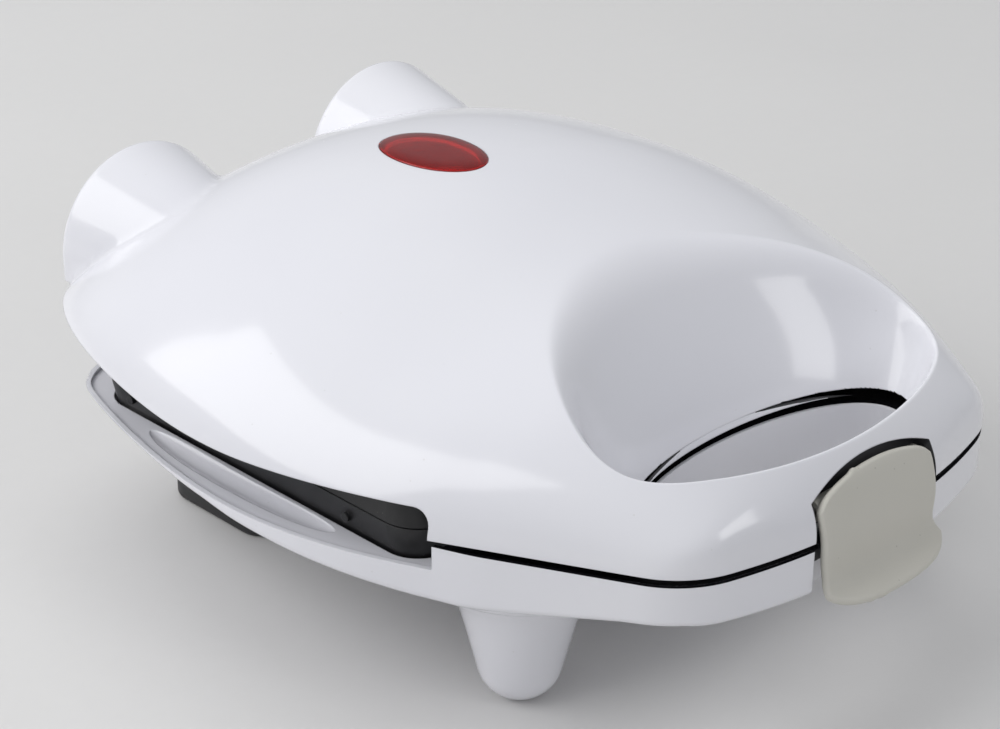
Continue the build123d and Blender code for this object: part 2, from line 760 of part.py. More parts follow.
# Bare wires of the element's circuit, from pin to control part above and to the terminals below
with BuildPart() as upper_leads:
    pin_x = heater_gate - cold_pin_length
    fuse_end_y = fuse_y + fuse_length / 2 + fuse_wire_length
    corner_y = fuse_end_y + 2 * lead_bend
    thermostat_side_x = thermostat_x + thermostat_radius
    thermostat_lead = run(
        (-pin_x, heater_rear_y, heater_z), (-lead_x, heater_rear_y, heater_z),
        (-lead_x, thermostat_y, heater_z), (thermostat_side_x, thermostat_y, heater_z),
    )  # fmt: skip
    fuse_lead = run(
        (pin_x, heater_rear_y, heater_z), (lead_x, heater_rear_y, heater_z), (lead_x, corner_y, heater_z),
        (fuse_x, corner_y, fuse_z), (fuse_x, fuse_end_y, fuse_z),
    )  # fmt: skip
    add(tube(thermostat_lead, lead_radius))
    add(tube(fuse_lead, lead_radius))
with BuildPart() as lower_leads:
    low_heater_z = 2 * parting_z - heater_z
    terminal_front_y = terminal_y - terminal_depth / 2
    for side in sides:
        terminal_lead = run(
            (side * pin_x, heater_rear_y, low_heater_z), (side * lead_x, heater_rear_y, low_heater_z),
            (side * lead_x, terminal_front_y, low_heater_z),
        )  # fmt: skip
        add(tube(terminal_lead, lead_radius))

# Thermostat: a cup on the plate's back with a smaller cap
with BuildPart() as thermostat:
    with Locations((thermostat_x, thermostat_y, plate_back_z)):
        Cylinder(thermostat_radius, thermostat_cup_height, align=from_below)
        Cylinder(thermostat_cap_radius, thermostat_height, align=from_below)

# Thermal fuse with a stiff wire at each end, and its clip
with BuildPart() as thermal_fuse:
    with Locations(along_y(fuse_x, fuse_y, fuse_z)):
        Cylinder(fuse_radius, fuse_length)
        Cylinder(lead_radius / 2, fuse_length + 2 * fuse_wire_length)
with BuildPart() as fuse_clip:
    add(strap(fuse_x, fuse_y, fuse_z, fuse_radius))

# Indicator: a domed lens with a lip under the casing, a neon lamp, its holder and two screws
with BuildPart() as indicator_lens:
    add(lens_column(0, lid_core(-lens_proud)))
    add(lens_column(lens_lip, lid_core(wall + part_gap / 2)))
    add(lid_core(wall + lens_sheet), mode=Mode.SUBTRACT)
with BuildPart() as neon_lamp:
    lamp_mid_z = lamp_z + lamp_radius + lamp_collar_wall / 2
    with Locations(along_y(0, lens_y, lamp_mid_z)):
        Cylinder(lamp_radius, lamp_length)
    fillet(neon_lamp.edges().group_by(Axis.Y)[-1], lamp_radius / 2)
with BuildPart() as lamp_holder:
    strip_length = 2 * (lamp_post_x + lamp_strip_width / 2)
    lamp_front_y = lens_y - lamp_length / 2
    with Locations((0, lens_y, lamp_z)):
        Box(strip_length, lamp_strip_width, lamp_strip_sheet, align=from_above)
    with Locations(along_y(0, lamp_front_y + lamp_collar_length / 2, lamp_mid_z)):
        Cylinder(lamp_radius + lamp_collar_wall, lamp_collar_length)
        Cylinder(lamp_radius + running_gap, lamp_collar_length, mode=Mode.SUBTRACT)
    with Locations(*[(side * lamp_post_x, lens_y, lamp_z) for side in sides]):
        Cylinder(lamp_screw_radius + running_gap, 3 * lamp_strip_sheet, mode=Mode.SUBTRACT)
with BuildPart() as lamp_holder_screws:
    lamp_screw_places = [(side * lamp_post_x, lens_y) for side in sides]
    lamp_screw_length = lamp_strip_sheet + lamp_screw_grip
    lamp_screw_size = (lamp_screw_radius, lamp_screw_length, lamp_screw_head, lamp_screw_head_height)
    add(screws(lamp_screw_places, lamp_z - lamp_strip_sheet, 1, *lamp_screw_size))

# Hinge: brackets and screws of lid and base, and a headed pin through each pair of brackets
with BuildPart() as upper_hinge_brackets:
    inner_half_span = hinge_half_span - cheek - part_gap
    foot_end_y = hinge_y + hinge_eye_radius
    add(hinge_brackets(inner_half_span, lid_rim_z, -1, foot_end_y, hinge_pin_radius + running_gap))
with BuildPart() as lower_hinge_brackets:
    add(hinge_brackets(hinge_half_span, base_rim_z, 1, hinge_y, hinge_pin_radius))
hinge_screw_size = (hinge_screw_radius, cheek + deck, hinge_screw_head, hinge_screw_head_height)
with BuildPart() as upper_hinge_screws:
    add(screws(hinge_screw_places, lid_rim_z - cheek, 1, *hinge_screw_size))
with BuildPart() as lower_hinge_screws:
    add(screws(hinge_screw_places, base_rim_z + cheek, -1, *hinge_screw_size))
with BuildPart() as hinge_pins:
    for side in sides:
        with Locations(along_x(side * hinge_x, hinge_y, hinge_z)):
            Cylinder(hinge_pin_radius, 2 * hinge_half_span)
        for end in sides:
            head_x = side * hinge_x + end * (hinge_half_span + hinge_pin_head_height / 2)
            with Locations(along_x(head_x, hinge_y, hinge_z)):
                Cylinder(hinge_pin_head, hinge_pin_head_height)

# Latch: a bent paddle with an arched top, a barrel on its pin, and a hook towards the catch
with BuildPart() as latch:
    with BuildSketch(Plane.YZ):
        with BuildLine() as spine:
            brow = ThreePointArc(
                (latch_top_y, latch_top_z), (latch_brow_y, latch_brow_z), (latch_waist_y, latch_waist_z)
            )
            tongue = FilletPolyline(
                brow @ 1, (latch_valley_y, latch_valley_z), (lip_front_y + latch_sheet / 2, lip_z),
                radius=latch_valley_radius,
            )  # fmt: skip
        SlotArc(spine.wire(), latch_sheet)
    extrude(amount=latch_half_width, both=True)
    extrude(latch_outline(Plane.XZ, 0), amount=far, mode=Mode.INTERSECT)
    with Locations(along_x(0, latch_pivot_y, latch_pivot_z)):
        Cylinder(latch_barrel_radius, 2 * (latch_half_width - latch_shoulder_in))
        Cylinder(latch_pin_radius + running_gap, 2 * latch_half_width, mode=Mode.SUBTRACT)
    with Locations((0, catch_front_y - part_gap, catch_z - 2 * part_gap)):
        Box(
            2 * hook_half_width, catch_front_y - part_gap - latch_valley_y, hook_height,
            align=(Align.CENTER, Align.MAX, Align.MAX),
        )  # fmt: skip
with BuildPart() as latch_pin:
    with Locations(along_x(0, latch_pivot_y, latch_pivot_z)):
        Cylinder(latch_pin_radius, 2 * recess_half_width + wall)

# Cord winder, which is also the rear foot: a post under the base and a flange on the table
with BuildPart() as cord_winder:
    for half_wide, front_y, rear_y, height in (
        (winder_half_width, winder_front_y, winder_rear_y, winder_flange),
        (post_half_width, post_front_y, post_rear_y, base_bottom_z),
    ):
        with BuildSketch():
            with Locations((0, (front_y + rear_y) / 2)):
                RectangleRounded(2 * half_wide, rear_y - front_y, winder_corner)
        extrude(amount=height)
    with Locations(*[(side * winder_screw_x, winder_screw_y, 0) for side in sides]):
        Cylinder(winder_bore_radius, winder_bore_depth, align=from_below, mode=Mode.SUBTRACT)
        Cylinder(winder_screw_radius + running_gap, base_bottom_z, align=from_below, mode=Mode.SUBTRACT)
with BuildPart() as winder_screws:
    winder_screw_places = [(side * winder_screw_x, winder_screw_y) for side in sides]
    winder_screw_length = base_bottom_z + winder_screw_grip - winder_bore_depth
    winder_screw_size = (winder_screw_radius, winder_screw_length, winder_screw_head, winder_screw_head_height)
    add(screws(winder_screw_places, winder_bore_depth, 1, *winder_screw_size))

# Bush that guards the cord's way in, and the block where its wires end
with BuildPart() as cord_inlet:
    with Locations(along_y(inlet_x, base_rear_y, inlet_z)):
        Cylinder(inlet_radius, inlet_length, align=from_below)
        Cylinder(inlet_flange_radius, inlet_flange, align=from_above)
        Cylinder(inlet_bore_radius, 4 * inlet_length, mode=Mode.SUBTRACT)
with BuildPart() as terminal_block:
    with Locations((0, terminal_y, terminal_z)):
        Box(terminal_length, terminal_depth, terminal_height, align=from_below)
    with Locations(*[(side * lead_x, terminal_y, terminal_z + terminal_height) for side in sides]):
        Cylinder(terminal_screw_radius, terminal_depth / 2, align=from_above, mode=Mode.SUBTRACT)

pieces = {
    "upper_shell": upper_shell,
    "upper_plate": upper_plate,
    "upper_heater": upper_heater,
    "upper_heater_clips": upper_heater_clips,
    "upper_reflector": upper_reflector,
    "upper_plate_screws": upper_plate_screws,
    "upper_leads": upper_leads,
    "thermostat": thermostat,
    "thermal_fuse": thermal_fuse,
    "fuse_clip": fuse_clip,
    "indicator_lens": indicator_lens,
    "neon_lamp": neon_lamp,
    "lamp_holder": lamp_holder,
    "lamp_holder_screws": lamp_holder_screws,
    "upper_hinge_brackets": upper_hinge_brackets,
    "upper_hinge_screws": upper_hinge_screws,
    "latch_pin": latch_pin,
    "latch": latch,
    "lower_shell": lower_shell,
    "lower_plate": turned_over(upper_plate),
    "lower_heater": turned_over(upper_heater),
    "lower_heater_clips": turned_over(upper_heater_clips),
    "lower_reflector": turned_over(upper_reflector),
    "lower_plate_screws": turned_over(short_plate_screws),
    "lower_leads": lower_leads,
    "lower_hinge_brackets": lower_hinge_brackets,
    "lower_hinge_screws": lower_hinge_screws,
    "hinge_pins": hinge_pins,
    "cord_winder": cord_winder,
    "winder_screws": winder_screws,
    "cord_inlet": cord_inlet,
    "terminal_block": terminal_block,
}
for name, piece in pieces.items():
    piece.part.label = name
    export_step(piece.part, f"parts/{name}.step")
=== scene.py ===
import json
import math

import bpy
import numpy as np
from mathutils import Matrix, Vector


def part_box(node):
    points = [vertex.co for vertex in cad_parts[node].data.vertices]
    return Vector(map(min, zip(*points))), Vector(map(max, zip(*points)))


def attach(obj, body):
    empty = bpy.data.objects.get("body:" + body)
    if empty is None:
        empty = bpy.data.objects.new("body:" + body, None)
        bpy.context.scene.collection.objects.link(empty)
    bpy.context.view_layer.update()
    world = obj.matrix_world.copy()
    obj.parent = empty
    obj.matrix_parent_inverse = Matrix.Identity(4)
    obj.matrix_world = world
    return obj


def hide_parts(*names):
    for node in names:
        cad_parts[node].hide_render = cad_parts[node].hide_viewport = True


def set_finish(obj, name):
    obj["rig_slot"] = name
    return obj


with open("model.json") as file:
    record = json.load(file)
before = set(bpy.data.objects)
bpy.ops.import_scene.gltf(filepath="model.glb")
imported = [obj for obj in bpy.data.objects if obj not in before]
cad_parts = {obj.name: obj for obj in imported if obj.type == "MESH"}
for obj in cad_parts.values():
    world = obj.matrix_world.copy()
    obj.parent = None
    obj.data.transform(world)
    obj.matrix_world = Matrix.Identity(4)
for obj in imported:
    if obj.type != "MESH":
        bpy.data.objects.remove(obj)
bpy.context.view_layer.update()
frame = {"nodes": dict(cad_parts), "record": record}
print("stage: frame loaded,", len(frame["nodes"]), "nodes")

mm = 0.001  # shapes are worked out in millimetres and put into the meshes in metres
sides = (-1, 1)


# Arithmetic shared by the shapes


def ease(x, low, high):  # smooth step from 0 at low to 1 at high
    t = np.clip((x - low) / (high - low), 0, 1)
    return t * t * (3 - 2 * t)


def mix(a, b, share):
    return a + (b - a) * share


def softMin(a, b, reach):  # the lower of two heights, with a round corner about as wide as reach
    h = np.clip(reach - np.abs(a - b), 0, None) / reach
    return np.minimum(a, b) - h * h * reach / 4


def quarter(d, width):  # a quarter circle's rise, from 0 at d = 0 to 1 at d = width
    return np.sqrt(1 - np.clip((width - d) / width, 0, 1) ** 2)


def alongPath(points, count, closed=False):  # points spaced evenly along a polyline
    p = np.vstack([points, points[:1]]) if closed else np.asarray(points, float)
    run = np.concatenate([[0], np.cumsum(np.linalg.norm(np.diff(p, axis=0), axis=1))])
    at = np.linspace(0, run[-1], count, endpoint=not closed)
    return np.stack([np.interp(at, run, p[:, k]) for k in range(p.shape[1])], 1)


def respace(grid, count, sharpness=5.0):
    # Each column of a (rows, columns, 3) grid gets count points again, spaced by length plus how much it turns
    step = np.linalg.norm(np.diff(grid, axis=0), axis=2)
    heading = np.diff(grid, axis=0) / np.maximum(step, 1e-6)[..., None]
    turn = np.linalg.norm(np.diff(heading, axis=0), axis=2)
    near = np.minimum(sharpness * turn / np.maximum((step[1:] + step[:-1]) / 2, 0.05), 3.5)
    near = np.vstack([near[:1], near])
    kernel = np.hanning(25) / np.hanning(25).sum()
    near = np.apply_along_axis(lambda c: np.convolve(np.pad(c, 12, mode="edge"), kernel, "valid"), 0, near)
    arc = np.vstack([np.zeros(grid.shape[1]), np.cumsum(step * (1 + near), axis=0)])
    arc = arc / arc[-1] + 2.0 * np.arange(grid.shape[1])
    want = np.linspace(0, 1, count)[:, None] + 2.0 * np.arange(grid.shape[1])
    flat = [np.interp(want.T.ravel(), arc.T.ravel(), grid[..., k].T.ravel()) for k in range(3)]
    return np.stack(flat, 1).reshape(grid.shape[1], count, 3).transpose(1, 0, 2)


# Meshes


def makeObject(name, points, faces):
    mesh = bpy.data.meshes.new(name)
    mesh.from_pydata((np.asarray(points, float) * mm).tolist(), [], faces)
    mesh.update()
    obj = bpy.data.objects.new(name, mesh)
    bpy.context.scene.collection.objects.link(obj)
    return obj


def gridFaces(rows, columns, wrapRows, wrapColumns):
    r = np.arange(rows if wrapRows else rows - 1)[:, None]
    c = np.arange(columns if wrapColumns else columns - 1)[None, :]
    a, b = r * columns + c, r * columns + (c + 1) % columns
    d, e = (r + 1) % rows * columns + c, (r + 1) % rows * columns + (c + 1) % columns
    return np.stack(np.broadcast_arrays(a, b, e, d), -1).reshape(-1, 4)


def outward(points, faces):  # turns the faces round if the closed shape is inside out
    p = np.asarray(points)
    total = 0.0
    for f in faces:
        for k in range(1, len(f) - 1):
            total += np.dot(p[f[0]], np.cross(p[f[k]], p[f[k + 1]]))
    return faces if total > 0 else [tuple(f[::-1]) for f in faces]


def ringBody(name, grid):  # a closed ring: both directions of the grid wrap round
    rows, columns, _ = grid.shape
    faces = gridFaces(rows, columns, True, True)
    p = grid.reshape(-1, 3)
    a, b, c, d = (p[faces[:, k]] for k in range(4))
    volume = (a * np.cross(b, c)).sum() + (a * np.cross(c, d)).sum()
    return makeObject(name, p, (faces if volume > 0 else faces[:, ::-1]).tolist())


def cappedBody(name, grid):  # rows of points round an axis, with a flat end at the first and the last row
    rows, columns, _ = grid.shape
    faces = [tuple(f) for f in gridFaces(rows, columns, False, True).tolist()]
    faces += [tuple(range(columns))[::-1], tuple(range((rows - 1) * columns, rows * columns))]
    p = grid.reshape(-1, 3)
    return makeObject(name, p, outward(p, faces))


def prism(name, outline, low, high, axis=2):  # a flat outline carried along an axis
    other = [k for k in range(3) if k != axis]
    grid = np.zeros((2, len(outline), 3))
    grid[:, :, other] = np.asarray(outline, float)
    grid[0, :, axis], grid[1, :, axis] = low, high
    return cappedBody(name, grid)


def circle(x, y, radius, count=64):
    a = np.linspace(0, 2 * np.pi, count, endpoint=False)
    return np.stack([x + radius * np.cos(a), y + radius * np.sin(a)], 1)


def combine(target, tool, how="DIFFERENCE"):  # a boolean that uses the tool up
    cut = target.modifiers.new("cut", "BOOLEAN")
    cut.operation, cut.solver, cut.object = how, "MANIFOLD", tool
    graph = bpy.context.evaluated_depsgraph_get()
    made = bpy.data.meshes.new_from_object(target.evaluated_get(graph))
    target.modifiers.clear()
    old = target.data
    target.data = made
    bpy.data.meshes.remove(old)
    bpy.data.objects.remove(tool)
    return target


def smooth(obj, sharpDegrees=32):
    obj.data.shade_smooth()
    obj.data.set_sharp_from_angle(angle=math.radians(sharpDegrees))
    return obj


# Plan and heights of the casings

casing = {
    "halfWidth": 114.5, "widestY": 22.0, "shoulderY": -46.0, "shoulderHalf": 97.0,
    "frontY": -119.8, "frontRadius": 184.0, "cornerRadius": 30.0,
    "rearY": 135.5, "rearCorner": 14.0, "taperLength": 159.0, "taperPower": 2.2,
    "seatZ": 58.5, "seam": 2.5, "wall": 2.5,
    "crownZ": 112.0, "crownY": 38.0, "frontDrop": 8.5, "easeLength": 71.0, "rearPower": 2.6,
    "noseLength": 65.0, "noseFullness": 1.6,
    "columns": 480, "rings": 150,
}  # fmt: skip
lidFace = casing["seatZ"] + casing["seam"] / 2
baseFace = casing["seatZ"] - casing["seam"] / 2
flankSlope = 2 * (casing["halfWidth"] - casing["shoulderHalf"]) / (casing["widestY"] - casing["shoulderY"])


def halfWidth(y):  # a straight flank at the grip, a parabola to the widest point, a superellipse behind it
    c = casing
    share = (c["widestY"] - y) / (c["widestY"] - c["shoulderY"])
    middle = c["halfWidth"] - (c["halfWidth"] - c["shoulderHalf"]) * share**2
    flank = c["shoulderHalf"] + flankSlope * (y - c["shoulderY"])
    behind = np.clip((y - c["widestY"]) / c["taperLength"], 0, 1)
    rear = c["halfWidth"] * (1 - behind ** c["taperPower"]) ** (1 / c["taperPower"])
    return np.where(y < c["shoulderY"], flank, np.where(y < c["widestY"], middle, rear))


def crown(y):  # a superellipse behind the summit, a gentle fall ahead of it that ends in a round nose
    c = casing
    rise = c["crownZ"] - c["seatZ"]
    behind = np.clip((y - c["crownY"]) / (c["rearY"] - c["crownY"]), 0, 1)
    rear = rise * (1 - behind ** c["rearPower"]) ** (1 / c["taperPower"])
    ahead = rise - c["frontDrop"] * ease(c["crownY"] - y, 0, c["easeLength"])
    nose = np.clip(1 - (y - c["frontY"]) / c["noseLength"], 0, 1)
    return c["seatZ"] + np.where(y > c["crownY"], rear, ahead * (1 - nose**2) ** (1 / c["noseFullness"]))


def gripCorner():  # centre of the grip's round corner, and the angles where it meets front and flank
    c = casing
    middle = np.array([0.0, c["frontY"] + c["frontRadius"]])
    along = np.array([flankSlope, 1.0]) / math.hypot(flankSlope, 1)
    inward = np.array([-along[1], along[0]])
    onLine = np.array([c["shoulderHalf"], c["shoulderY"]]) + inward * c["cornerRadius"]
    b = (onLine - middle) @ along
    far = (onLine - middle) @ (onLine - middle) - (c["frontRadius"] - c["cornerRadius"]) ** 2
    centre = onLine + along * (-b - math.sqrt(b * b - far))
    return centre, math.atan2(*(centre - middle)[::-1]), math.atan2(-inward[1], -inward[0])


cornerCentre, cornerStart, cornerEnd = gripCorner()


def gripInside(x, y):  # distance in from the grip's plan: bowed front, round corners, straight flanks
    c = casing
    length = math.hypot(1, flankSlope)
    flank = (c["shoulderHalf"] - np.abs(x) + flankSlope * (y - c["shoulderY"])) / length
    front = c["frontRadius"] - np.hypot(x, y - c["frontY"] - c["frontRadius"])
    fromX, fromY = np.abs(x) - cornerCentre[0], y - cornerCentre[1]
    turn = np.arctan2(fromY, fromX)
    atCorner = (turn > cornerStart) & (turn < cornerEnd)
    return np.where(atCorner, c["cornerRadius"] - np.hypot(fromX, fromY), np.minimum(flank, front))


def insetOutline(outline, amount):  # a closed outline moved inwards, by one distance or by one for each point
    tangent = np.roll(outline, -1, 0) - np.roll(outline, 1, 0)
    inward = np.stack([-tangent[:, 1], tangent[:, 0]], 1) / np.linalg.norm(tangent, axis=1, keepdims=True)
    return outline + inward * np.reshape(amount, (-1, 1))


def planOutline(rearY, rearCorner, count):
    # Half an outline: front arc, corner arc, flank, then the width at each y to the rear; mirrored, respaced
    c = casing
    r, big = c["cornerRadius"], c["frontRadius"]
    a = np.linspace(-np.pi / 2, cornerStart, 60)
    front = big * np.stack([np.cos(a), np.sin(a)], 1) + [0, c["frontY"] + big]
    a = np.linspace(cornerStart, cornerEnd, 40)
    corner = cornerCentre + r * np.stack([np.cos(a), np.sin(a)], 1)
    y = np.linspace(corner[-1, 1], rearY, 500)[1:]
    past = np.clip(y - (rearY - rearCorner), 0, rearCorner)
    x = halfWidth(y) - rearCorner + np.sqrt(rearCorner**2 - past**2)
    half = np.vstack([front, corner, np.stack([x, y], 1), [[0.0, rearY]]])
    whole = np.vstack([half, (half * [-1, 1])[-2:0:-1]])
    return alongPath(whole, count, closed=True)


# Upper casing

scoop = {
    "holeY": -83.0, "holeHalfWidth": 51.0, "holeHalfDepth": 21.0, "widening": 13.5,
    # height over the grip's face, shift back, share of the widening, deepening
    "levels": [
        (-6.0, 0.0, -0.04, -1.0), (0.0, 0.0, 0.0, 0.0), (9.0, 1.5, 0.56, 4.0),
        (19.0, 4.0, 0.87, 8.3), (31.0, 6.0, 0.96, 16.3), (52.25, 9.0, 1.0, 33.5), (68.0, 11.3, 1.04, 47.5),
    ],
    "rimFront": 5.0, "rimRear": 9.0,
}  # fmt: skip
ear = {"x": 50.0, "z": 74.8, "radius": 30.3, "taper": 0.22, "frontY": 62.0, "rearRound": 3.0, "crease": 2.2}
lidRim = {"z": 68.0, "corner": 5.0, "deck": 3.0, "sag": 1.6, "sagY": 34.0, "sagLength": 34.0}
seamSlot = {"lip": 1.3, "lidTop": 61.5, "baseFloor": 55.4}
latchCut = {"halfWidth": 25.7, "shoulder": 25.1, "sideZ": 70.2, "topZ": 75.4, "rearY": -109.4}
plateWell = {
    "halfWidth": 97.0, "frontY": -42.0, "rearY": 98.0, "corner": 12.0,
    "gap": 0.6, "draft": 11.0, "seam": 0.4,
}  # fmt: skip
indicator = {"y": 53.5, "halfWidth": 12.4, "halfLength": 19.6, "gap": 0.25}


def scoopHeight(x, y):  # inverts a stack of growing ellipses: the level whose ellipse passes through the point
    table = np.array(scoop["levels"])
    h = np.linspace(table[0, 0], table[-1, 0], 90)
    shift, share, deeper = (np.polyval(np.polyfit(table[:, 0], table[:, k], 4), h) for k in (1, 2, 3))
    halfX = scoop["holeHalfWidth"] + share * scoop["widening"]
    halfY = scoop["holeHalfDepth"] + deeper
    px, py = x.reshape(-1, 1), y.reshape(-1, 1)
    q = (px / halfX) ** 2 + ((py - scoop["holeY"] - shift) / halfY) ** 2
    k = np.clip(np.argmax(q < 1, axis=1), 1, len(h) - 1)
    row = np.arange(len(k))
    high, low = q[row, k - 1], q[row, k]
    level = h[k - 1] + (h[k] - h[k - 1]) * np.clip((high - 1) / np.maximum(high - low, 1e-9), 0, 1)
    level = np.where(q[:, -1] >= 1, h[-1] + 20 * (q[:, -1] - 1), level)
    return lidFace + level.reshape(x.shape)


def domeHeight(x, y):  # half ellipses across, rounded over at the grip's corners
    across = np.sqrt(1 - np.clip(np.abs(x) / np.maximum(halfWidth(y), 1), 0, 1) ** 2)
    dome = casing["seatZ"] + (crown(y) - casing["seatZ"]) * across
    tall = mix(27.0, 110.0, ease(y, -102, -70))
    edge = casing["seatZ"] + tall * quarter(gripInside(x, y), 22.0)
    return softMin(dome, edge, 4.0)


def lidHeight(x, y):
    rim = mix(scoop["rimFront"], scoop["rimRear"], ease(y, -100, -50))
    return softMin(domeHeight(x, y), scoopHeight(x, y), rim)


def holeEdge(outer, grow):  # for each point of an outline, the point of the finger hole's ellipse that faces it
    a = np.arctan2((outer[:, 1] - scoop["holeY"]) / 60, outer[:, 0] / 75)
    x = (scoop["holeHalfWidth"] + grow) * np.cos(a)
    return np.stack([x, scoop["holeY"] + (scoop["holeHalfDepth"] + grow) * np.sin(a)], 1)


def lidGrid(columns, rings, inset=0.0, drop=0.0):
    # Straight plan lines from the hole's edge to the outline, raised to the surface; a short wall at both ends
    outer = insetOutline(planOutline(casing["rearY"], casing["rearCorner"], columns), inset)
    s = (1 - np.cos(np.pi * np.linspace(0, 1, 420)))[:, None, None] / 2
    plan = mix(holeEdge(outer, inset), outer, s)
    grid = np.dstack([plan, lidHeight(plan[..., 0], plan[..., 1]) - drop])
    foot = grid[:1].copy()
    skirt = grid[-1:].copy()
    foot[..., 2] = skirt[..., 2] = baseFace - drop
    return respace(np.vstack([foot, grid, skirt]), rings)


def earBody(side, inset):
    # A tunnel along Y: a half circle on upright sides, thinner towards the front, its rear edge rounded
    e = ear
    r0, rearY = e["rearRound"], casing["rearY"]
    t = np.linspace(0, np.pi / 2, 9)
    y = np.concatenate([np.linspace(e["frontY"], rearY - r0 - 1, 40), rearY - r0 + r0 * np.sin(t)])
    r = e["radius"] - e["taper"] * (rearY - y)
    r[-9:] -= r0 * (1 - np.cos(t))
    r, y = r[:, None] - inset, y[:, None] - inset
    a = np.linspace(0, np.pi, 64)[None, :]
    x = np.hstack([side * e["x"] + r * np.cos(a), side * e["x"] - r, side * e["x"] + r])
    z = np.hstack([e["z"] + r * np.sin(a), np.full_like(r, 60), np.full_like(r, 60)])
    return cappedBody("ear", np.stack(np.broadcast_arrays(x, y, z), -1))


def softenCreases(obj):  # eases the corner where the ears run into the dome
    mesh = obj.data
    p = np.empty(len(mesh.vertices) * 3)
    mesh.vertices.foreach_get("co", p)
    p = p.reshape(-1, 3) / mm
    r = ear["radius"] - ear["taper"] * (casing["rearY"] - p[:, 1])
    aside = np.abs(np.abs(p[:, 0]) - ear["x"])
    toEar = np.abs(np.hypot(aside, np.clip(p[:, 2] - ear["z"], 0, None)) - r)
    toDome = np.abs(p[:, 2] - domeHeight(p[:, 0], p[:, 1]))
    near = (toEar < ear["crease"]) & (toDome < 2 * ear["crease"]) & (p[:, 1] > 85) & (p[:, 2] > 66)
    edges = np.empty(len(mesh.edges) * 2, int)
    mesh.edges.foreach_get("vertices", edges)
    a, b = edges.reshape(-1, 2).T
    count = np.bincount(a, minlength=len(p)) + np.bincount(b, minlength=len(p))
    for _ in range(10):
        total = np.zeros_like(p)
        for k in range(3):
            total[:, k] = np.bincount(a, p[b, k], len(p)) + np.bincount(b, p[a, k], len(p))
        p[near] += 0.5 * (total / count[:, None] - p)[near]
    mesh.vertices.foreach_set("co", (p * mm).ravel())
    mesh.update()


def stepOutline(gripZ, rimZ, toward, corner, backBy=0.0, sag=0.0):
    # Side view of what is cut away: one height along the grip, another behind the shoulder, round between
    y = casing["shoulderY"] - backBy
    a = np.linspace(0, np.pi / 2, 9)
    turn = [(y + corner * (1 - math.cos(t)), rimZ + toward * corner * (1 - math.sin(t))) for t in a]
    along = np.linspace(y + corner + 2, 140, 60)
    rim = rimZ - sag * np.exp(-(((along - lidRim["sagY"]) / lidRim["sagLength"]) ** 2))
    end = [(300, rimZ), (300, toward * 300), (-300, toward * 300)]
    return [(-300, gripZ), (y, gripZ), *turn, *zip(along, rim), *end]


def slotRing(outer, grow, low, high):  # the band between an outline and the hole, from one height to another
    hole = holeEdge(outer, grow)
    rows = [(outer, low), (outer, high), (hole, high), (hole, low)]
    return np.array([np.column_stack([plan, np.full(len(plan), z)]) for plan, z in rows])


def shadeSeam(obj, step):
    # Marks what light hardly reaches, for painted shade: the faces behind the seam's lips and the walls of the
    # latch's opening
    mesh = obj.data
    p = np.empty(len(mesh.polygons) * 3)
    mesh.polygons.foreach_get("center", p)
    x, y, z = p.reshape(-1, 3).T / mm
    lip = seamSlot["lip"] - 0.1
    hole = scoop["holeHalfWidth"] + lip, scoop["holeHalfDepth"] + lip
    outside = np.hypot(x / hole[0], (y - scoop["holeY"]) / hole[1]) > 0.995
    inside = outside & (gripInside(x, y) > step + lip) & (y < casing["shoulderY"] + 6)
    inside &= (z > seamSlot["baseFloor"] - 0.1) & (z < seamSlot["lidTop"] + 0.1)
    n = np.empty(len(mesh.polygons) * 3)
    mesh.polygons.foreach_get("normal", n)
    n = n.reshape(-1, 3)
    wall = (n[:, 2] < -0.5) | (np.abs(n[:, 0]) > 0.9) | ((n[:, 1] < -0.98) & (gripInside(x, y) > 2.4))
    opening = wall & (np.abs(x) < latchCut["halfWidth"] + 0.2) & (y < -108) & (np.abs(z - 60) < 17)
    opening &= gripInside(x, y) > step + 0.15
    # painted shade: 1 behind the seam's lips, 0.9 on the walls of the latch's opening
    shade = np.where(inside, 1.0, 0.9 * opening)
    mesh.attributes.new("shade", "FLOAT", "FACE").data.foreach_set("value", shade)


def roundedOutline(halfX, y0, y1, corner, count=12):
    a = np.linspace(0, np.pi / 2, count)
    quarterTurn = np.stack([np.cos(a), np.sin(a)], 1) * corner
    parts = []
    for turn, (cx, cy) in enumerate([(1, y1), (-1, y1), (-1, y0), (1, y0)]):
        rotated = quarterTurn @ np.linalg.matrix_power(np.array([[0, 1], [-1, 0]]), turn)
        centre = [cx * (halfX - corner), cy - corner if cy == y1 else cy + corner]
        parts.append(rotated + centre)
    return np.vstack(parts)


def archOutline(half, shoulder, sideZ, topZ, bottomZ):  # front view of the latch's opening
    rise = topZ - sideZ
    radius = (shoulder**2 + rise**2) / (2 * rise)
    reach = math.asin(shoulder / radius)
    a = np.linspace(-reach, reach, 33)
    arch = [(radius * math.sin(t), topZ - radius + radius * math.cos(t)) for t in a]
    return [(-half, bottomZ), (-half, lidFace), *arch, (half, lidFace), (half, bottomZ)]


def wellOutline(z):
    w = plateWell
    grow = w["gap"] - (abs(z - casing["seatZ"]) - w["seam"] / 2) * math.tan(math.radians(w["draft"]))
    return roundedOutline(w["halfWidth"] + grow, w["frontY"] - grow, w["rearY"] + grow, w["corner"] + grow)


def ellipseOutline(half, length, y, count=96):
    a = np.linspace(0, 2 * np.pi, count, endpoint=False)
    return np.stack([half * np.cos(a), y + length * np.sin(a)], 1)


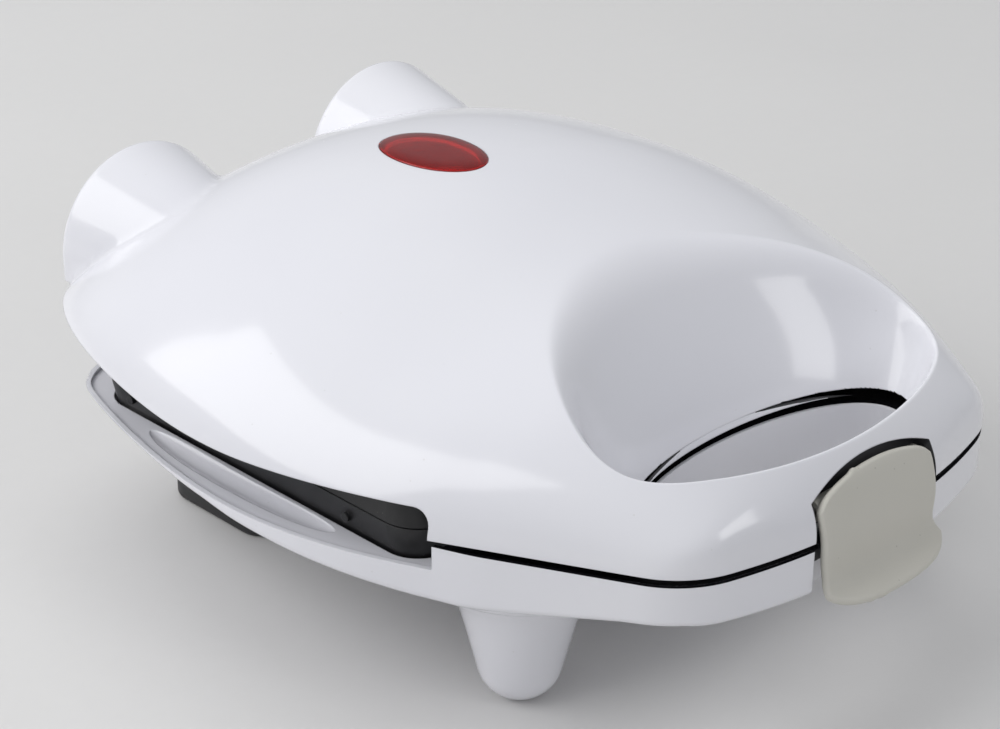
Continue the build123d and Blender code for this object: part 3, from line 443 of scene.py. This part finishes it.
def makeUpperCasing():
    c = casing
    shell = ringBody("upperCasing", lidGrid(c["columns"], c["rings"]))
    inside = ringBody("lidInside", lidGrid(c["columns"] // 2, c["rings"] // 2, c["wall"], c["wall"] * 1.2))
    for side in sides:
        combine(shell, earBody(side, 0.0), "UNION")
        combine(inside, earBody(side, c["wall"]), "UNION")
    softenCreases(shell)
    deckCut = stepOutline(lidFace + lidRim["deck"], lidRim["z"] + lidRim["deck"], -1, 0.0, backBy=c["wall"])
    combine(inside, prism("deck", deckCut, -150, 150, axis=0))
    box = latchCut["halfWidth"] + c["wall"]
    around = [(-box, 0), (-box, latchCut["topZ"] + c["wall"]), (box, latchCut["topZ"] + c["wall"]), (box, 0)]
    combine(inside, prism("latchBox", around, -150, latchCut["rearY"] + c["wall"], axis=1))
    for y in (-12.0, 82.0):
        combine(inside, prism("boss", circle(0, y, 5.0), 0, 200))
    combine(shell, inside)
    step = stepOutline(lidFace, lidRim["z"], -1, lidRim["corner"], sag=lidRim["sag"])
    combine(shell, prism("step", step, -150, 150, axis=0))
    outline = planOutline(c["rearY"], c["rearCorner"], c["columns"] // 2)
    slot = slotRing(insetOutline(outline, seamSlot["lip"]), seamSlot["lip"], lidFace - 3, seamSlot["lidTop"])
    combine(shell, ringBody("slot", slot))
    combine(shell, prism("well", wellOutline(lidRim["z"]), 20, lidRim["z"] + 2 * lidRim["deck"]))
    arch = archOutline(latchCut["halfWidth"], latchCut["shoulder"], latchCut["sideZ"], latchCut["topZ"], 0)
    combine(shell, prism("latchOpening", arch, -150, latchCut["rearY"], axis=1))
    g = indicator["gap"]
    lensHole = ellipseOutline(indicator["halfWidth"] + g, indicator["halfLength"] + g, indicator["y"])
    combine(shell, prism("lensOpening", lensHole, 90, 200))
    shadeSeam(shell, 0.0)
    return smooth(shell)


upperCasing = makeUpperCasing()
print("stage: upper casing,", len(upperCasing.data.polygons), "faces")

# Lower casing

bowl = {
    "gripIn": 0.3, "sideIn": 1.8, "rearIn": 4.5, "rearY": 116.0, "rearCorner": 15.0,
    "bottomZ": 27.0, "gripBottomZ": 38.0, "riseY": -38.0, "riseLength": 75.0,
    # where the side turns under, as pairs of y and height
    "turn": [
        (-118, 44.2), (-106, 45.6), (-92, 44.8), (-79, 43.2), (-65, 41.4), (-52, 40.4), (-40, 40.7),
        (-26, 42.0), (-12, 43.4), (7, 45.4), (30, 47.6), (60, 48.6), (120, 48.8),
    ],
    "sideRound": 58.0, "frontRound": 26.0, "rearRound": 20.0,
    "edgeRound": 1.6, "holeFlare": 4.0,
    "rimZ": 50.0, "rimWidth": 1.7, "ledgeDrop": 1.1, "deckZ": 44.5, "columns": 420, "rings": 120,
}  # fmt: skip
leg = {"x": 66.4, "y": -50.2, "foot": 9.6, "top": 16.2, "rounding": 8.6, "flare": 1.8, "height": 46.0}
channel = {"x": 101.6, "bow": 2.2, "midY": 28.0, "halfLength": 40.0, "radius": 5.4, "depth": 2.0}


def stepIn(y):  # how far inside the lid's outline the base lies
    b = bowl
    return mix(b["gripIn"], b["sideIn"], ease(y, -60, -40)) + (b["rearIn"] - b["sideIn"]) * ease(y, 15, 85)


def baseOutline(count, further=0.0):
    outline = planOutline(bowl["rearY"], bowl["rearCorner"], count)
    return insetOutline(outline, stepIn(outline[:, 1]) + further)


def turnHeight(y):
    return np.interp(y, *np.array(bowl["turn"]).T)


def floorHeight(y):
    return mix(bowl["bottomZ"], bowl["gripBottomZ"], ease(bowl["riseY"] - y, 0, bowl["riseLength"]))


def underside(outer, plan, inset):
    # Height of the base's underside: a quarter sine at the sides, a quarter ellipse at the back, a rounded edge
    b = bowl
    tangent = np.roll(outer, -1, 0) - np.roll(outer, 1, 0)
    normal = np.stack([tangent[:, 1], -tangent[:, 0]], 1) / np.linalg.norm(tangent, axis=1, keepdims=True)
    sideways = ease(normal[:, 0] ** 2, 0.25, 0.95)
    width = mix(np.where(normal[:, 1] < 0, b["frontRound"], b["rearRound"]), b["sideRound"], sideways)
    d = np.abs(((outer - plan) * normal).sum(-1)) + inset
    gentle = np.where(outer[:, 1] > 60, ease(normal[:, 0] ** 2, 0.05, 0.5), 1)
    full = mix(quarter(d, width), np.sin(np.pi / 2 * np.clip(d / width, 0, 1)), gentle)
    turnZ = turnHeight(outer[:, 1])
    edge = b["edgeRound"] * (1 - quarter(d, b["edgeRound"]))
    return turnZ - (turnZ - floorHeight(plan[..., 1])) * full + edge


def baseGrid(columns, rings, inset=0.0, rise=0.0):
    # One closed section for each plan line: flat top, upright side, underside, hole's wall
    outer = baseOutline(columns, inset)
    lower = holeEdge(outer, bowl["holeFlare"] + inset)
    s = (1 - np.cos(np.pi * np.linspace(0, 1, 300)))[:, None, None] / 2
    plan = mix(lower, outer, s)
    under = np.dstack([plan, underside(outer, plan, inset) + rise])[::-1]
    flat = mix(holeEdge(outer, inset), outer, np.linspace(0, 1, 5)[:, None, None])
    top = np.dstack([flat, np.full((5, columns), lidFace + rise)])
    return respace(np.vstack([top, under, top[:1]]), rings + 1)[:-1]


def legBody(side):  # a turned profile: round foot, cone, and a flare with a small lip where it meets the base
    start = leg["rounding"]
    low = start * (1 - np.cos(np.linspace(0, np.pi / 2, 16)))
    z = np.concatenate([low, np.linspace(start + 1, leg["height"], 60)])[:, None]
    a = np.linspace(0, 2 * np.pi, 96, endpoint=False)[None, :]
    slope = (leg["top"] - leg["foot"]) / bowl["bottomZ"]
    outer = baseOutline(1200)
    x, y = side * leg["x"] + leg["top"] * np.cos(a[0]), leg["y"] + leg["top"] * np.sin(a[0])
    nearest = np.argmin(np.hypot(outer[:, :1] - x, outer[:, 1:] - y), axis=0)
    reach = np.hypot(outer[nearest, 0] - x, outer[nearest, 1] - y)
    turnZ = turnHeight(outer[nearest, 1])
    meets = turnZ - (turnZ - floorHeight(y)) * np.sin(np.pi / 2 * np.clip(reach / bowl["sideRound"], 0, 1))
    r = leg["foot"] + slope * z - start * (1 - quarter(z, start))
    r = r + leg["flare"] * np.exp(-np.clip(meets - z, 0, None) / 2.2)
    r = r - 0.3 * np.exp(-(((meets - z - 1.6) / 0.5) ** 2))
    grid = np.stack(np.broadcast_arrays(side * leg["x"] + r * np.cos(a), leg["y"] + r * np.sin(a), z), -1)
    return cappedBody("leg", grid)


def channelBody(side):  # a spindle that follows the ledge, thinner and higher at its ends
    t = np.linspace(-1, 1, 61)
    full = np.sqrt(1 - np.clip(np.abs(t), 0, 0.999) ** 3.2)
    radius = channel["radius"] * full + 0.01
    x = side * (channel["x"] + channel["bow"] * (1 - t * t) - channel["bow"])
    y = channel["midY"] + channel["halfLength"] * t
    z = bowl["rimZ"] - bowl["ledgeDrop"] - channel["depth"] * full + radius
    a = np.linspace(0, 2 * np.pi, 40, endpoint=False)
    outX, outZ = radius[:, None] * np.cos(a), radius[:, None] * np.sin(a)
    grid = np.stack(np.broadcast_arrays(x[:, None] + outX, y[:, None], z[:, None] + outZ), -1)
    return cappedBody("channel", grid)


def makeLowerCasing():
    b, c = bowl, casing
    shell = ringBody("lowerCasing", baseGrid(b["columns"], b["rings"]))
    for side in sides:
        combine(shell, legBody(side), "UNION")
    inside = ringBody("baseInside", baseGrid(b["columns"] // 2, b["rings"] // 2, c["wall"], c["wall"]))
    deckCut = stepOutline(baseFace - 3.0, b["deckZ"], 1, 0.0, backBy=c["wall"])
    combine(inside, prism("deck", deckCut, -150, 150, axis=0))
    wide = latchCut["halfWidth"] + c["wall"]
    catch = [(-wide, 0), (-wide, 90), (wide, 90), (wide, 0)]
    combine(inside, prism("catchBox", catch, -150, -108.5, axis=1))
    combine(inside, prism("terminalSeat", [(-15, 100), (15, 100), (15, 109), (-15, 109)], 0, 33.0))
    for x, y in ((0, -12.0), (0, 82.0), (-24.0, 82.0), (24.0, 82.0)):
        combine(inside, prism("boss", circle(x, y, 5.0), 0, 200))
    combine(shell, inside)
    combine(shell, prism("step", stepOutline(baseFace, b["rimZ"], 1, 0.6), -150, 150, axis=0))
    slot = slotRing(baseOutline(240, seamSlot["lip"]), seamSlot["lip"], seamSlot["baseFloor"], lidFace + 3)
    combine(shell, ringBody("slot", slot))
    combine(shell, prism("well", wellOutline(b["rimZ"]), b["deckZ"] - 1, 80))
    ledge = baseOutline(400, b["rimWidth"])
    ledge[:, 1] = np.clip(ledge[:, 1], c["shoulderY"] + 2.0, 109.0)
    combine(shell, prism("ledge", ledge, b["rimZ"] - b["ledgeDrop"], 80))
    for side in sides:
        combine(shell, channelBody(side))
    half = latchCut["halfWidth"]
    for low, high, rear in ((0, 52.0, -111.0), (51.0, 90, -115.4)):
        front = [(-half, low), (-half, high), (half, high), (half, low)]
        combine(shell, prism("catch", front, -150, rear, axis=1))
    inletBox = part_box("cord_inlet")
    at = (inletBox[0] + inletBox[1]) / 2 / mm
    combine(shell, prism("inletHole", circle(at.x, at.z, 5.65), 100, 130, axis=1))
    shadeSeam(shell, bowl["gripIn"])
    return smooth(shell)


lowerCasing = makeLowerCasing()
print("stage: lower casing,", len(lowerCasing.data.polygons), "faces")

# Latch

paddle = {
    "spine": [
        (-113.4, 73.0), (-115.6, 69.6), (-117.4, 64.0), (-118.7, 58.5), (-119.0, 53.0),
        (-118.8, 49.4), (-119.7, 46.6), (-122.2, 44.2), (-125.2, 42.2), (-128.3, 40.6),
    ],
    "thickness": 2.6, "edge": 1.2, "topHalf": 22.6, "topFall": 4.2, "cornerFall": 2.4,
    "half": 23.9, "waist": 0.7, "waistAt": 25.0, "flare": 0.6, "tipFall": 8.5,
}  # fmt: skip


def makeLatch():
    # A sheet along a curved spine: each column runs from the arched top edge to the elliptical tip
    knots = np.array(paddle["spine"])
    run = np.concatenate([[0], np.cumsum(np.linalg.norm(np.diff(knots, axis=0), axis=1))])
    fit = [np.polyfit(run / run[-1], knots[:, k], 6) for k in (0, 1)]
    total = run[-1]
    rows, columns = 120, 81
    u = np.sin(np.pi / 2 * np.linspace(-1, 1, columns))[None, :]
    v = ((1 - np.cos(np.pi * np.linspace(0, 1, rows))) / 2)[:, None]
    first = paddle["topFall"] * np.abs(u) ** 2.2 + paddle["cornerFall"] * np.abs(u) ** 16
    last = total - paddle["tipFall"] * (1 - np.sqrt(1 - np.clip(np.abs(u), 0, 1) ** 2.2))
    p = first + v * (last - first)
    half = paddle["half"] - (paddle["half"] - paddle["topHalf"]) * (1 - ease(p, 0, 9.0))
    half = half - paddle["waist"] * np.exp(-(((p - paddle["waistAt"]) / 4) ** 2))
    half = half + paddle["flare"] * ease(p, 26, 31)
    y, z = (np.polyval(f, p / total) for f in fit)
    slopeY, slopeZ = (np.polyval(np.polyder(f), p / total) for f in fit)
    size = np.hypot(slopeY, slopeZ)
    normalY, normalZ = slopeZ / size, -slopeY / size  # towards the front
    edge = np.minimum(np.minimum((1 - np.abs(u)) * half, p - first), last - p)
    rise = paddle["thickness"] / 2 * quarter(edge, paddle["edge"])
    x = u * half
    rng = np.random.default_rng(7)
    rough = np.convolve(rng.normal(0, 1, columns), [0.25, 0.5, 0.25], "same")[None, :]
    flash = 0.28 * np.abs(rough) * np.exp(-(((u + 0.35) / 0.22) ** 2)) * np.exp(-(((last - p) / 0.9) ** 2))
    nub = 0.7 * np.exp(-(((x + 7.5) / 1.1) ** 2)) * np.exp(-((p - first) ** 2) / 0.5)
    y, z = y - flash, z + nub - 0.6 * flash
    front = np.dstack([x, y + normalY * rise * -1, z + normalZ * rise * -1])
    back = np.dstack([x, y + normalY * rise, z + normalZ * rise])
    if front[rows // 2, columns // 2, 1] > back[rows // 2, columns // 2, 1]:
        front, back = back, front
    faces = gridFaces(rows, columns, False, False)
    number = np.arange(rows * columns).reshape(rows, columns)
    other = number + rows * columns
    for line in (np.s_[0, :], np.s_[-1, :], np.s_[:, 0], np.s_[:, -1]):
        other[line] = number[line]  # front and back share their edge
    backFaces = other.ravel()[faces][:, ::-1]
    points = np.vstack([front.reshape(-1, 3), back.reshape(-1, 3)])
    used, place = np.unique(np.vstack([faces, backFaces]), return_inverse=True)
    allFaces = place.reshape(-1, 4)
    body = makeObject("latchPaddle", points[used], outward(points[used], [tuple(f) for f in allFaces.tolist()]))
    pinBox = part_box("latch_pin")
    axis = (pinBox[0] + pinBox[1]) / 2 / mm
    reach = paddle["topHalf"] - 0.6
    barrel = prism("barrel", circle(axis.y, axis.z, 3.0), -reach, reach, axis=0)
    combine(body, barrel, "UNION")
    hook = [(-117.9, 51.4), (-115.7, 51.4), (-115.7, 48.8), (-116.4, 48.2), (-117.9, 48.2)]
    combine(body, prism("hook", hook, -10, 10, axis=0), "UNION")
    combine(body, prism("bore", circle(axis.y, axis.z, 1.56, 32), -40, 40, axis=0))
    return smooth(body, 40)


latchPaddle = makeLatch()
print("stage: latch")

# Indicator lens: a shallow dome over the casing's own curve, hollow underneath

lens = {"proud": 1.0, "edge": 1.6, "lip": 2.2}


def makeLens():
    rings, count = 26, 120
    a = np.linspace(0, 2 * np.pi, count, endpoint=False)[None, :]

    def level(share, drop, grow=0.0):  # one ring: share of the half axes, and how far under the dome's surface
        x = (indicator["halfWidth"] + grow) * share * np.cos(a)
        y = indicator["y"] + (indicator["halfLength"] + grow) * share * np.sin(a)
        return np.stack([x, y, domeHeight(x, y) - drop], -1).reshape(1, count, 3)

    share = np.sin(np.linspace(0.02, np.pi / 2, rings))
    rise = lens["proud"] * quarter((1 - share) * indicator["halfWidth"], lens["edge"] * 3)
    top = [level(s, -h) for s, h in zip(share, rise)]
    wall = [level(1, casing["wall"] + 0.15), level(1, casing["wall"] + 0.15, lens["lip"])]
    wall += [level(1, casing["wall"] + 1.2, lens["lip"]), level(0.9, casing["wall"] + 1.2)]
    under = [level(0.86 * s, casing["wall"] - 0.2 + 1.0 * s**6) for s in share[::-1]]
    return smooth(cappedBody("indicatorLens", np.vstack(top + wall + under)), 50)


indicatorLens = makeLens()
print("stage: indicator lens")

# Cord winder and rear foot

winder = {"half": 67.0, "frontY": 60.0, "rearY": 106.0, "flange": 6.0, "corner": 9.0, "edge": 1.8}
post = {"half": 36.0, "frontY": 68.0, "rearY": 96.0, "topZ": 27.0}


def slab(name, half, y0, y1, corner, z0, z1, edge):  # a rounded rectangle whose upper and lower edges are round
    a = np.linspace(0, np.pi / 2, 8)
    low = [(edge * (1 - math.sin(t)), z0 + edge * (1 - math.cos(t))) for t in a]
    high = [(edge * (1 - math.cos(t)), z1 - edge * (1 - math.sin(t))) for t in a]
    rows = []
    for d, z in low + high:
        outline = roundedOutline(half - d, y0 + d, y1 - d, corner - d)
        rows.append(np.column_stack([outline, np.full(len(outline), z)]))
    return cappedBody(name, np.array(rows))


def makeWinder():
    w = winder
    body = slab("cordWinder", w["half"], w["frontY"], w["rearY"], w["corner"], 0, w["flange"], w["edge"])
    outline = roundedOutline(post["half"], post["frontY"], post["rearY"], w["corner"])
    combine(body, prism("post", outline, w["flange"] / 2, post["topZ"]), "UNION")
    for side in sides:
        combine(body, prism("screwWell", circle(side * 24.0, 82.0, 4.2, 40), -1, 10))
    return smooth(body, 40)


cordWinder = makeWinder()
print("stage: cord winder")

# Which body each piece rides on, and which node it stands for

for piece, node, body, slot in (
    (upperCasing, "upper_shell", "lid", "casing"),
    (lowerCasing, "lower_shell", "base", "casing"),
    (latchPaddle, "latch", "latch", "latch_plastic"),
    (indicatorLens, "indicator_lens", "lid", "lens"),
    (cordWinder, "cord_winder", "base", "black_plastic"),
):
    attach(piece, body)
    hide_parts(node)
    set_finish(piece, slot)


# Materials


class Wire:  # an output socket that takes part in arithmetic by adding Math nodes
    def __init__(self, finish, socket):
        self.finish, self.socket = finish, socket

    def math(self, operation, *values):
        return self.finish.node("ShaderNodeMath", {"operation": operation}, dict(enumerate(values)))

    def __add__(self, other):
        return self.math("ADD", self, other)

    def __sub__(self, other):
        return self.math("SUBTRACT", self, other)

    def __rsub__(self, other):
        return self.math("SUBTRACT", other, self)

    def __mul__(self, other):
        return self.math("MULTIPLY", self, other)

    def __pow__(self, other):
        return self.math("POWER", self, other)

    __radd__, __rmul__ = __add__, __mul__


class Finish:  # a material under construction
    def __init__(self, name):
        self.material = bpy.data.materials.new(name)
        self.material.use_nodes = True
        self.tree = self.material.node_tree
        self.tree.nodes.clear()
        self.place = self.node("ShaderNodeTexCoord", out="Object")

    def node(self, kind, settings=None, values=None, out=0):
        made = self.tree.nodes.new(kind)
        for key, value in (settings or {}).items():
            if key == "stops":
                for element, (at, shade) in zip(made.color_ramp.elements, value):
                    element.position, element.color = at, (shade, shade, shade, 1)
            else:
                setattr(made, key, value)
        for key, value in (values or {}).items():
            if isinstance(value, Wire):
                self.tree.links.new(value.socket, made.inputs[key])
            else:
                made.inputs[key].default_value = value
        return Wire(self, made.outputs[out]) if len(made.outputs) else None

    def noise(self, scale, detail=3.0, roughness=0.5, stretch=None, offset=(0, 0, 0)):
        place = self.place
        if stretch or any(offset):
            values = {"Vector": place, "Scale": stretch or (1, 1, 1), "Location": offset}
            place = self.node("ShaderNodeMapping", None, values)
        values = {"Vector": place, "Scale": scale, "Detail": detail, "Roughness": roughness}
        return self.node("ShaderNodeTexNoise", None, values)

    def ramp(self, value, low, high):  # black below low, white above high
        return self.node("ShaderNodeValToRGB", {"stops": [(low, 0), (high, 1)]}, {0: value})

    def specks(self, scale, size, share, offset=(0, 0, 0)):  # small round spots in a share of the cells
        place = self.node("ShaderNodeMapping", None, {"Vector": self.place, "Location": offset})
        values = {"Vector": place, "Scale": scale}
        far = self.node("ShaderNodeTexVoronoi", {"feature": "F1"}, values, out="Distance")
        pick = self.node("ShaderNodeTexVoronoi", {"feature": "F1"}, values, out="Color")
        cell = self.node("ShaderNodeSeparateColor", None, {0: pick})
        chosen = cell.math("LESS_THAN", cell, share)
        return (1 - self.ramp(far, size * 0.6, size)) * chosen

    def blend(self, factor, a, b):
        values = {0: factor, 6: a, 7: b}
        return self.node("ShaderNodeMix", {"data_type": "RGBA"}, values, out=2)

    def rounded(self, radius):  # softens the light along sharp edges
        return self.node("ShaderNodeBevel", {"samples": 4}, {"Radius": radius})

    def bump(self, height, distance, normal=None, strength=1.0):
        values = {"Height": height, "Distance": distance, "Strength": strength}
        if normal:
            values["Normal"] = normal
        return self.node("ShaderNodeBump", None, values)

    def close(self, **values):
        sockets = {key.replace("_", " "): value for key, value in values.items()}
        shader = self.node("ShaderNodeBsdfPrincipled", None, sockets)
        self.node("ShaderNodeOutputMaterial", None, {"Surface": shader})
        return self.material


def colour(r, g, b):  # from the 0 to 255 values of a screen colour
    return tuple(((c / 255 + 0.055) / 1.055) ** 2.4 if c > 10 else c / 255 / 12.92 for c in (r, g, b)) + (1.0,)


def glossCasing():
    f = Finish("glossCasing")
    broad = f.ramp(f.noise(9, 2), 0.35, 0.65)
    tone = f.blend(broad, colour(226, 226, 232), colour(231, 231, 236))
    dust = f.specks(420, 0.14, 0.025)
    tone = f.blend(dust * 0.3, tone, colour(170, 168, 164))
    # painted shade: the faces that the shade attribute marks, behind the seam's lips and in the latch's
    # opening, are coloured near black
    shade = f.node("ShaderNodeAttribute", {"attribute_name": "shade"}, out="Fac")
    tone = f.blend(shade, tone, (0.012, 0.012, 0.015, 1))
    rough = 0.13 + 0.05 * f.noise(30, 4) + 0.2 * dust
    peel = f.bump(f.noise(420, 2), 0.000012, f.rounded(0.0005))
    return f.close(Base_Color=tone, Roughness=rough, Normal=peel, Coat_Weight=0.25, Coat_Roughness=0.06)


def nonStick():
    f = Finish("nonStick")
    broad = f.noise(60, 4)
    fine = f.noise(2600, 2)
    tone = f.blend(f.ramp(broad, 0.35, 0.7), (0.006, 0.006, 0.007, 1), (0.017, 0.017, 0.018, 1))
    tone = f.blend(f.specks(900, 0.2, 0.05) * 0.5, tone, (0.09, 0.09, 0.09, 1))
    rough = 0.3 + 0.16 * broad + 0.1 * fine
    return f.close(Base_Color=tone, Roughness=rough, Normal=f.bump(fine, 0.00003, f.rounded(0.0006)))


def matteLatch():
    f = Finish("matteLatch")
    tone = f.blend(f.noise(40, 4), colour(198, 196, 187), colour(206, 203, 195))
    tone = f.blend(f.specks(700, 0.2, 0.04) * 0.35, tone, colour(120, 116, 108))
    fine = f.noise(1500, 3)
    rough = 0.42 + 0.12 * fine
    return f.close(Base_Color=tone, Roughness=rough, Normal=f.bump(fine, 0.00002, f.rounded(0.0004)))


def redLens():
    f = Finish("redLens")
    tone = f.blend(f.noise(300, 3), (0.60, 0.004, 0.004, 1), (0.74, 0.010, 0.008, 1))
    smear = 0.05 + 0.08 * f.noise(220, 3)
    wave = f.bump(f.noise(260, 1), 0.00003)
    return f.close(Base_Color=tone, Roughness=smear, Normal=wave, Transmission_Weight=0.85, IOR=1.47)


def plainMetal(name, low, high, roughness, stretch):
    f = Finish(name)
    grain = f.noise(180, 5, 0.6, stretch)
    tone = f.blend(grain, low, high)
    rough = roughness + 0.18 * grain
    normal = f.bump(grain, 0.00001, f.rounded(0.0002))
    return f.close(Base_Color=tone, Metallic=1.0, Roughness=rough, Normal=normal)


def heatTinted():
    f = Finish("elementSteel")
    grain = f.noise(240, 5)
    heat = f.ramp(f.noise(28, 3), 0.42, 0.62)
    tone = f.blend(heat, (0.30, 0.29, 0.27, 1), (0.36, 0.27, 0.17, 1))
    rough = 0.38 + 0.15 * grain
    return f.close(Base_Color=tone, Metallic=1.0, Roughness=rough, Normal=f.bump(grain, 0.00002))


def blackPlastic():
    f = Finish("blackPlastic")
    fine = f.noise(1800, 3)
    tone = f.blend(f.noise(50, 3), (0.009, 0.009, 0.010, 1), (0.022, 0.022, 0.024, 1))
    dusty = f.specks(500, 0.2, 0.08)
    tone = f.blend(dusty * 0.4, tone, (0.15, 0.14, 0.13, 1))
    rough = 0.4 + 0.12 * fine
    return f.close(Base_Color=tone, Roughness=rough, Normal=f.bump(fine, 0.00003, f.rounded(0.0005)))


def lampGlass():
    f = Finish("lampGlass")
    tone = f.blend(f.noise(120, 2), (0.95, 0.85, 0.72, 1), (1.0, 0.93, 0.85, 1))
    wave = f.bump(f.noise(150, 1), 0.00002)
    smear = 0.04 + 0.03 * f.noise(400, 2)
    return f.close(Base_Color=tone, Roughness=smear, Normal=wave, Transmission_Weight=0.9)


def moulded(name, low, high, roughness):
    f = Finish(name)
    fine = f.noise(900, 3)
    tone = f.blend(f.noise(60, 3), low, high)
    rough = roughness + 0.12 * fine
    return f.close(Base_Color=tone, Roughness=rough, Normal=f.bump(fine, 0.00003, f.rounded(0.0004)))


steel = plainMetal("plainSteel", (0.42, 0.42, 0.43, 1), (0.62, 0.62, 0.62, 1), 0.24, (1, 8, 8))
finishes = {
    "casing": glossCasing(),
    "nonstick": nonStick(),
    "steel": steel,
    "reflector": plainMetal("brightSheet", (0.6, 0.6, 0.61, 1), (0.78, 0.78, 0.78, 1), 0.18, (6, 1, 6)),
    "copper": plainMetal("tinnedWire", (0.55, 0.36, 0.2, 1), (0.72, 0.55, 0.36, 1), 0.28, (3, 3, 3)),
    "lens": redLens(),
    "lamp_glass": lampGlass(),
    "inner_plastic": moulded("lampHolderPlastic", colour(205, 200, 188), colour(218, 214, 204), 0.45),
    "latch_plastic": matteLatch(),
    "black_plastic": blackPlastic(),
    "terminal_ceramic": moulded("terminalCeramic", colour(222, 214, 200), colour(232, 226, 214), 0.35),
}
element = heatTinted()
slotOf = {part["node"]: part["material_slot"] for part in frame["record"]["subparts"]}
for name, obj in frame["nodes"].items():
    obj.data.materials.clear()
    obj.data.materials.append(element if name.endswith("heater") else finishes[slotOf[name]])
    smooth(obj, 30)
for piece in (upperCasing, lowerCasing, latchPaddle, indicatorLens, cordWinder):
    piece.data.materials.clear()
    piece.data.materials.append(finishes[piece["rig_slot"]])
print("stage: materials")

# Floor, light and camera

studio = {
    "floor": colour(222, 221, 220), "fill": 0.44,
    # name, place, size across and up, power, aimed at; the overhead lamp leaves no reflection
    "lamps": [
        ("leftBox", (-1.00, 0.60, 0.96), 1.70, 1.05, 13.0, (-0.05, 0.0, 0.06)),
        ("overhead", (0.25, 0.65, 1.70), 1.5, 1.2, 10.0, (0.0, 0.0, 0.05)),
        ("frontWindow", (0.20, -1.30, 0.85), 0.5, 0.45, 2.2, (0.0, -0.05, 0.05)),
    ],
}


def floorMaterial():
    f = Finish("paleTable")
    broad = f.noise(7, 4)
    fine = f.noise(160, 4)
    low = tuple(0.92 * c for c in studio["floor"][:3]) + (1.0,)
    tone = f.blend(0.55 * broad + 0.25 * fine, low, studio["floor"])
    return f.close(Base_Color=tone, Roughness=0.5, Normal=f.bump(fine, 0.00004))


def makeStudio():
    far = 9000
    corners = [(-far, -far, 0), (far, -far, 0), (far, far, 0), (-far, far, 0)]
    floor = makeObject("floor", corners, [(0, 1, 2, 3)])
    floor.data.materials.append(floorMaterial())
    for name, place, wide, high, power, aim in studio["lamps"]:
        data = bpy.data.lights.new(name, "AREA")
        data.shape, data.size, data.size_y, data.energy = "RECTANGLE", wide, high, power
        lamp = bpy.data.objects.new(name, data)
        lamp.location = place
        lamp.visible_glossy = name != "overhead"
        lamp.rotation_euler = (Vector(place) - Vector(aim)).to_track_quat("Z", "Y").to_euler()
        bpy.context.scene.collection.objects.link(lamp)
    world = bpy.data.worlds.new("studio")
    world.use_nodes = True
    tree = world.node_tree
    tree.nodes.clear()
    path = tree.nodes.new("ShaderNodeLightPath")
    seen = tree.nodes.new("ShaderNodeMath")
    seen.operation = "MAXIMUM"
    tree.links.new(path.outputs["Is Camera Ray"], seen.inputs[0])
    tree.links.new(path.outputs["Is Transmission Ray"], seen.inputs[1])
    level = tree.nodes.new("ShaderNodeMix")
    level.inputs["A"].default_value, level.inputs["B"].default_value = studio["fill"], 0.9
    tree.links.new(seen.outputs[0], level.inputs["Factor"])
    shine = tree.nodes.new("ShaderNodeBackground")
    shine.inputs["Color"].default_value = (0.95, 0.97, 1.0, 1)
    tree.links.new(level.outputs["Result"], shine.inputs["Strength"])
    out = tree.nodes.new("ShaderNodeOutputWorld")
    tree.links.new(shine.outputs[0], out.inputs["Surface"])
    bpy.context.scene.world = world
    bpy.context.scene.view_settings.view_transform = "Standard"


view = {
    "azimuth": -44.86, "elevation": 27.2, "roll": 0.26, "distance": 785.1, "lens": 93.99,
    "aim": (0.0, 22.5, 56.5), "right": 1.63, "up": 4.59,
}  # fmt: skip


def makeCamera():
    a, e, r = (math.radians(view[k]) for k in ("azimuth", "elevation", "roll"))
    back = Vector((math.sin(a) * math.cos(e), -math.cos(a) * math.cos(e), math.sin(e)))
    level = Vector((math.cos(a), math.sin(a), 0))
    upright = back.cross(level)
    right = level * math.cos(r) + upright * math.sin(r)
    up = upright * math.cos(r) - level * math.sin(r)
    place = (Vector(view["aim"]) - right * view["right"] - up * view["up"] + back * view["distance"]) * mm
    camera = bpy.data.objects.new("camera", bpy.data.cameras.new("camera"))
    camera.data.lens, camera.data.sensor_width = view["lens"], 36.0
    turn = Matrix((right, up, back)).transposed().to_4x4()
    camera.matrix_world = Matrix.Translation(place) @ turn
    bpy.context.scene.collection.objects.link(camera)
    bpy.context.scene.camera = camera


makeStudio()
makeCamera()
print("stage: studio and camera")
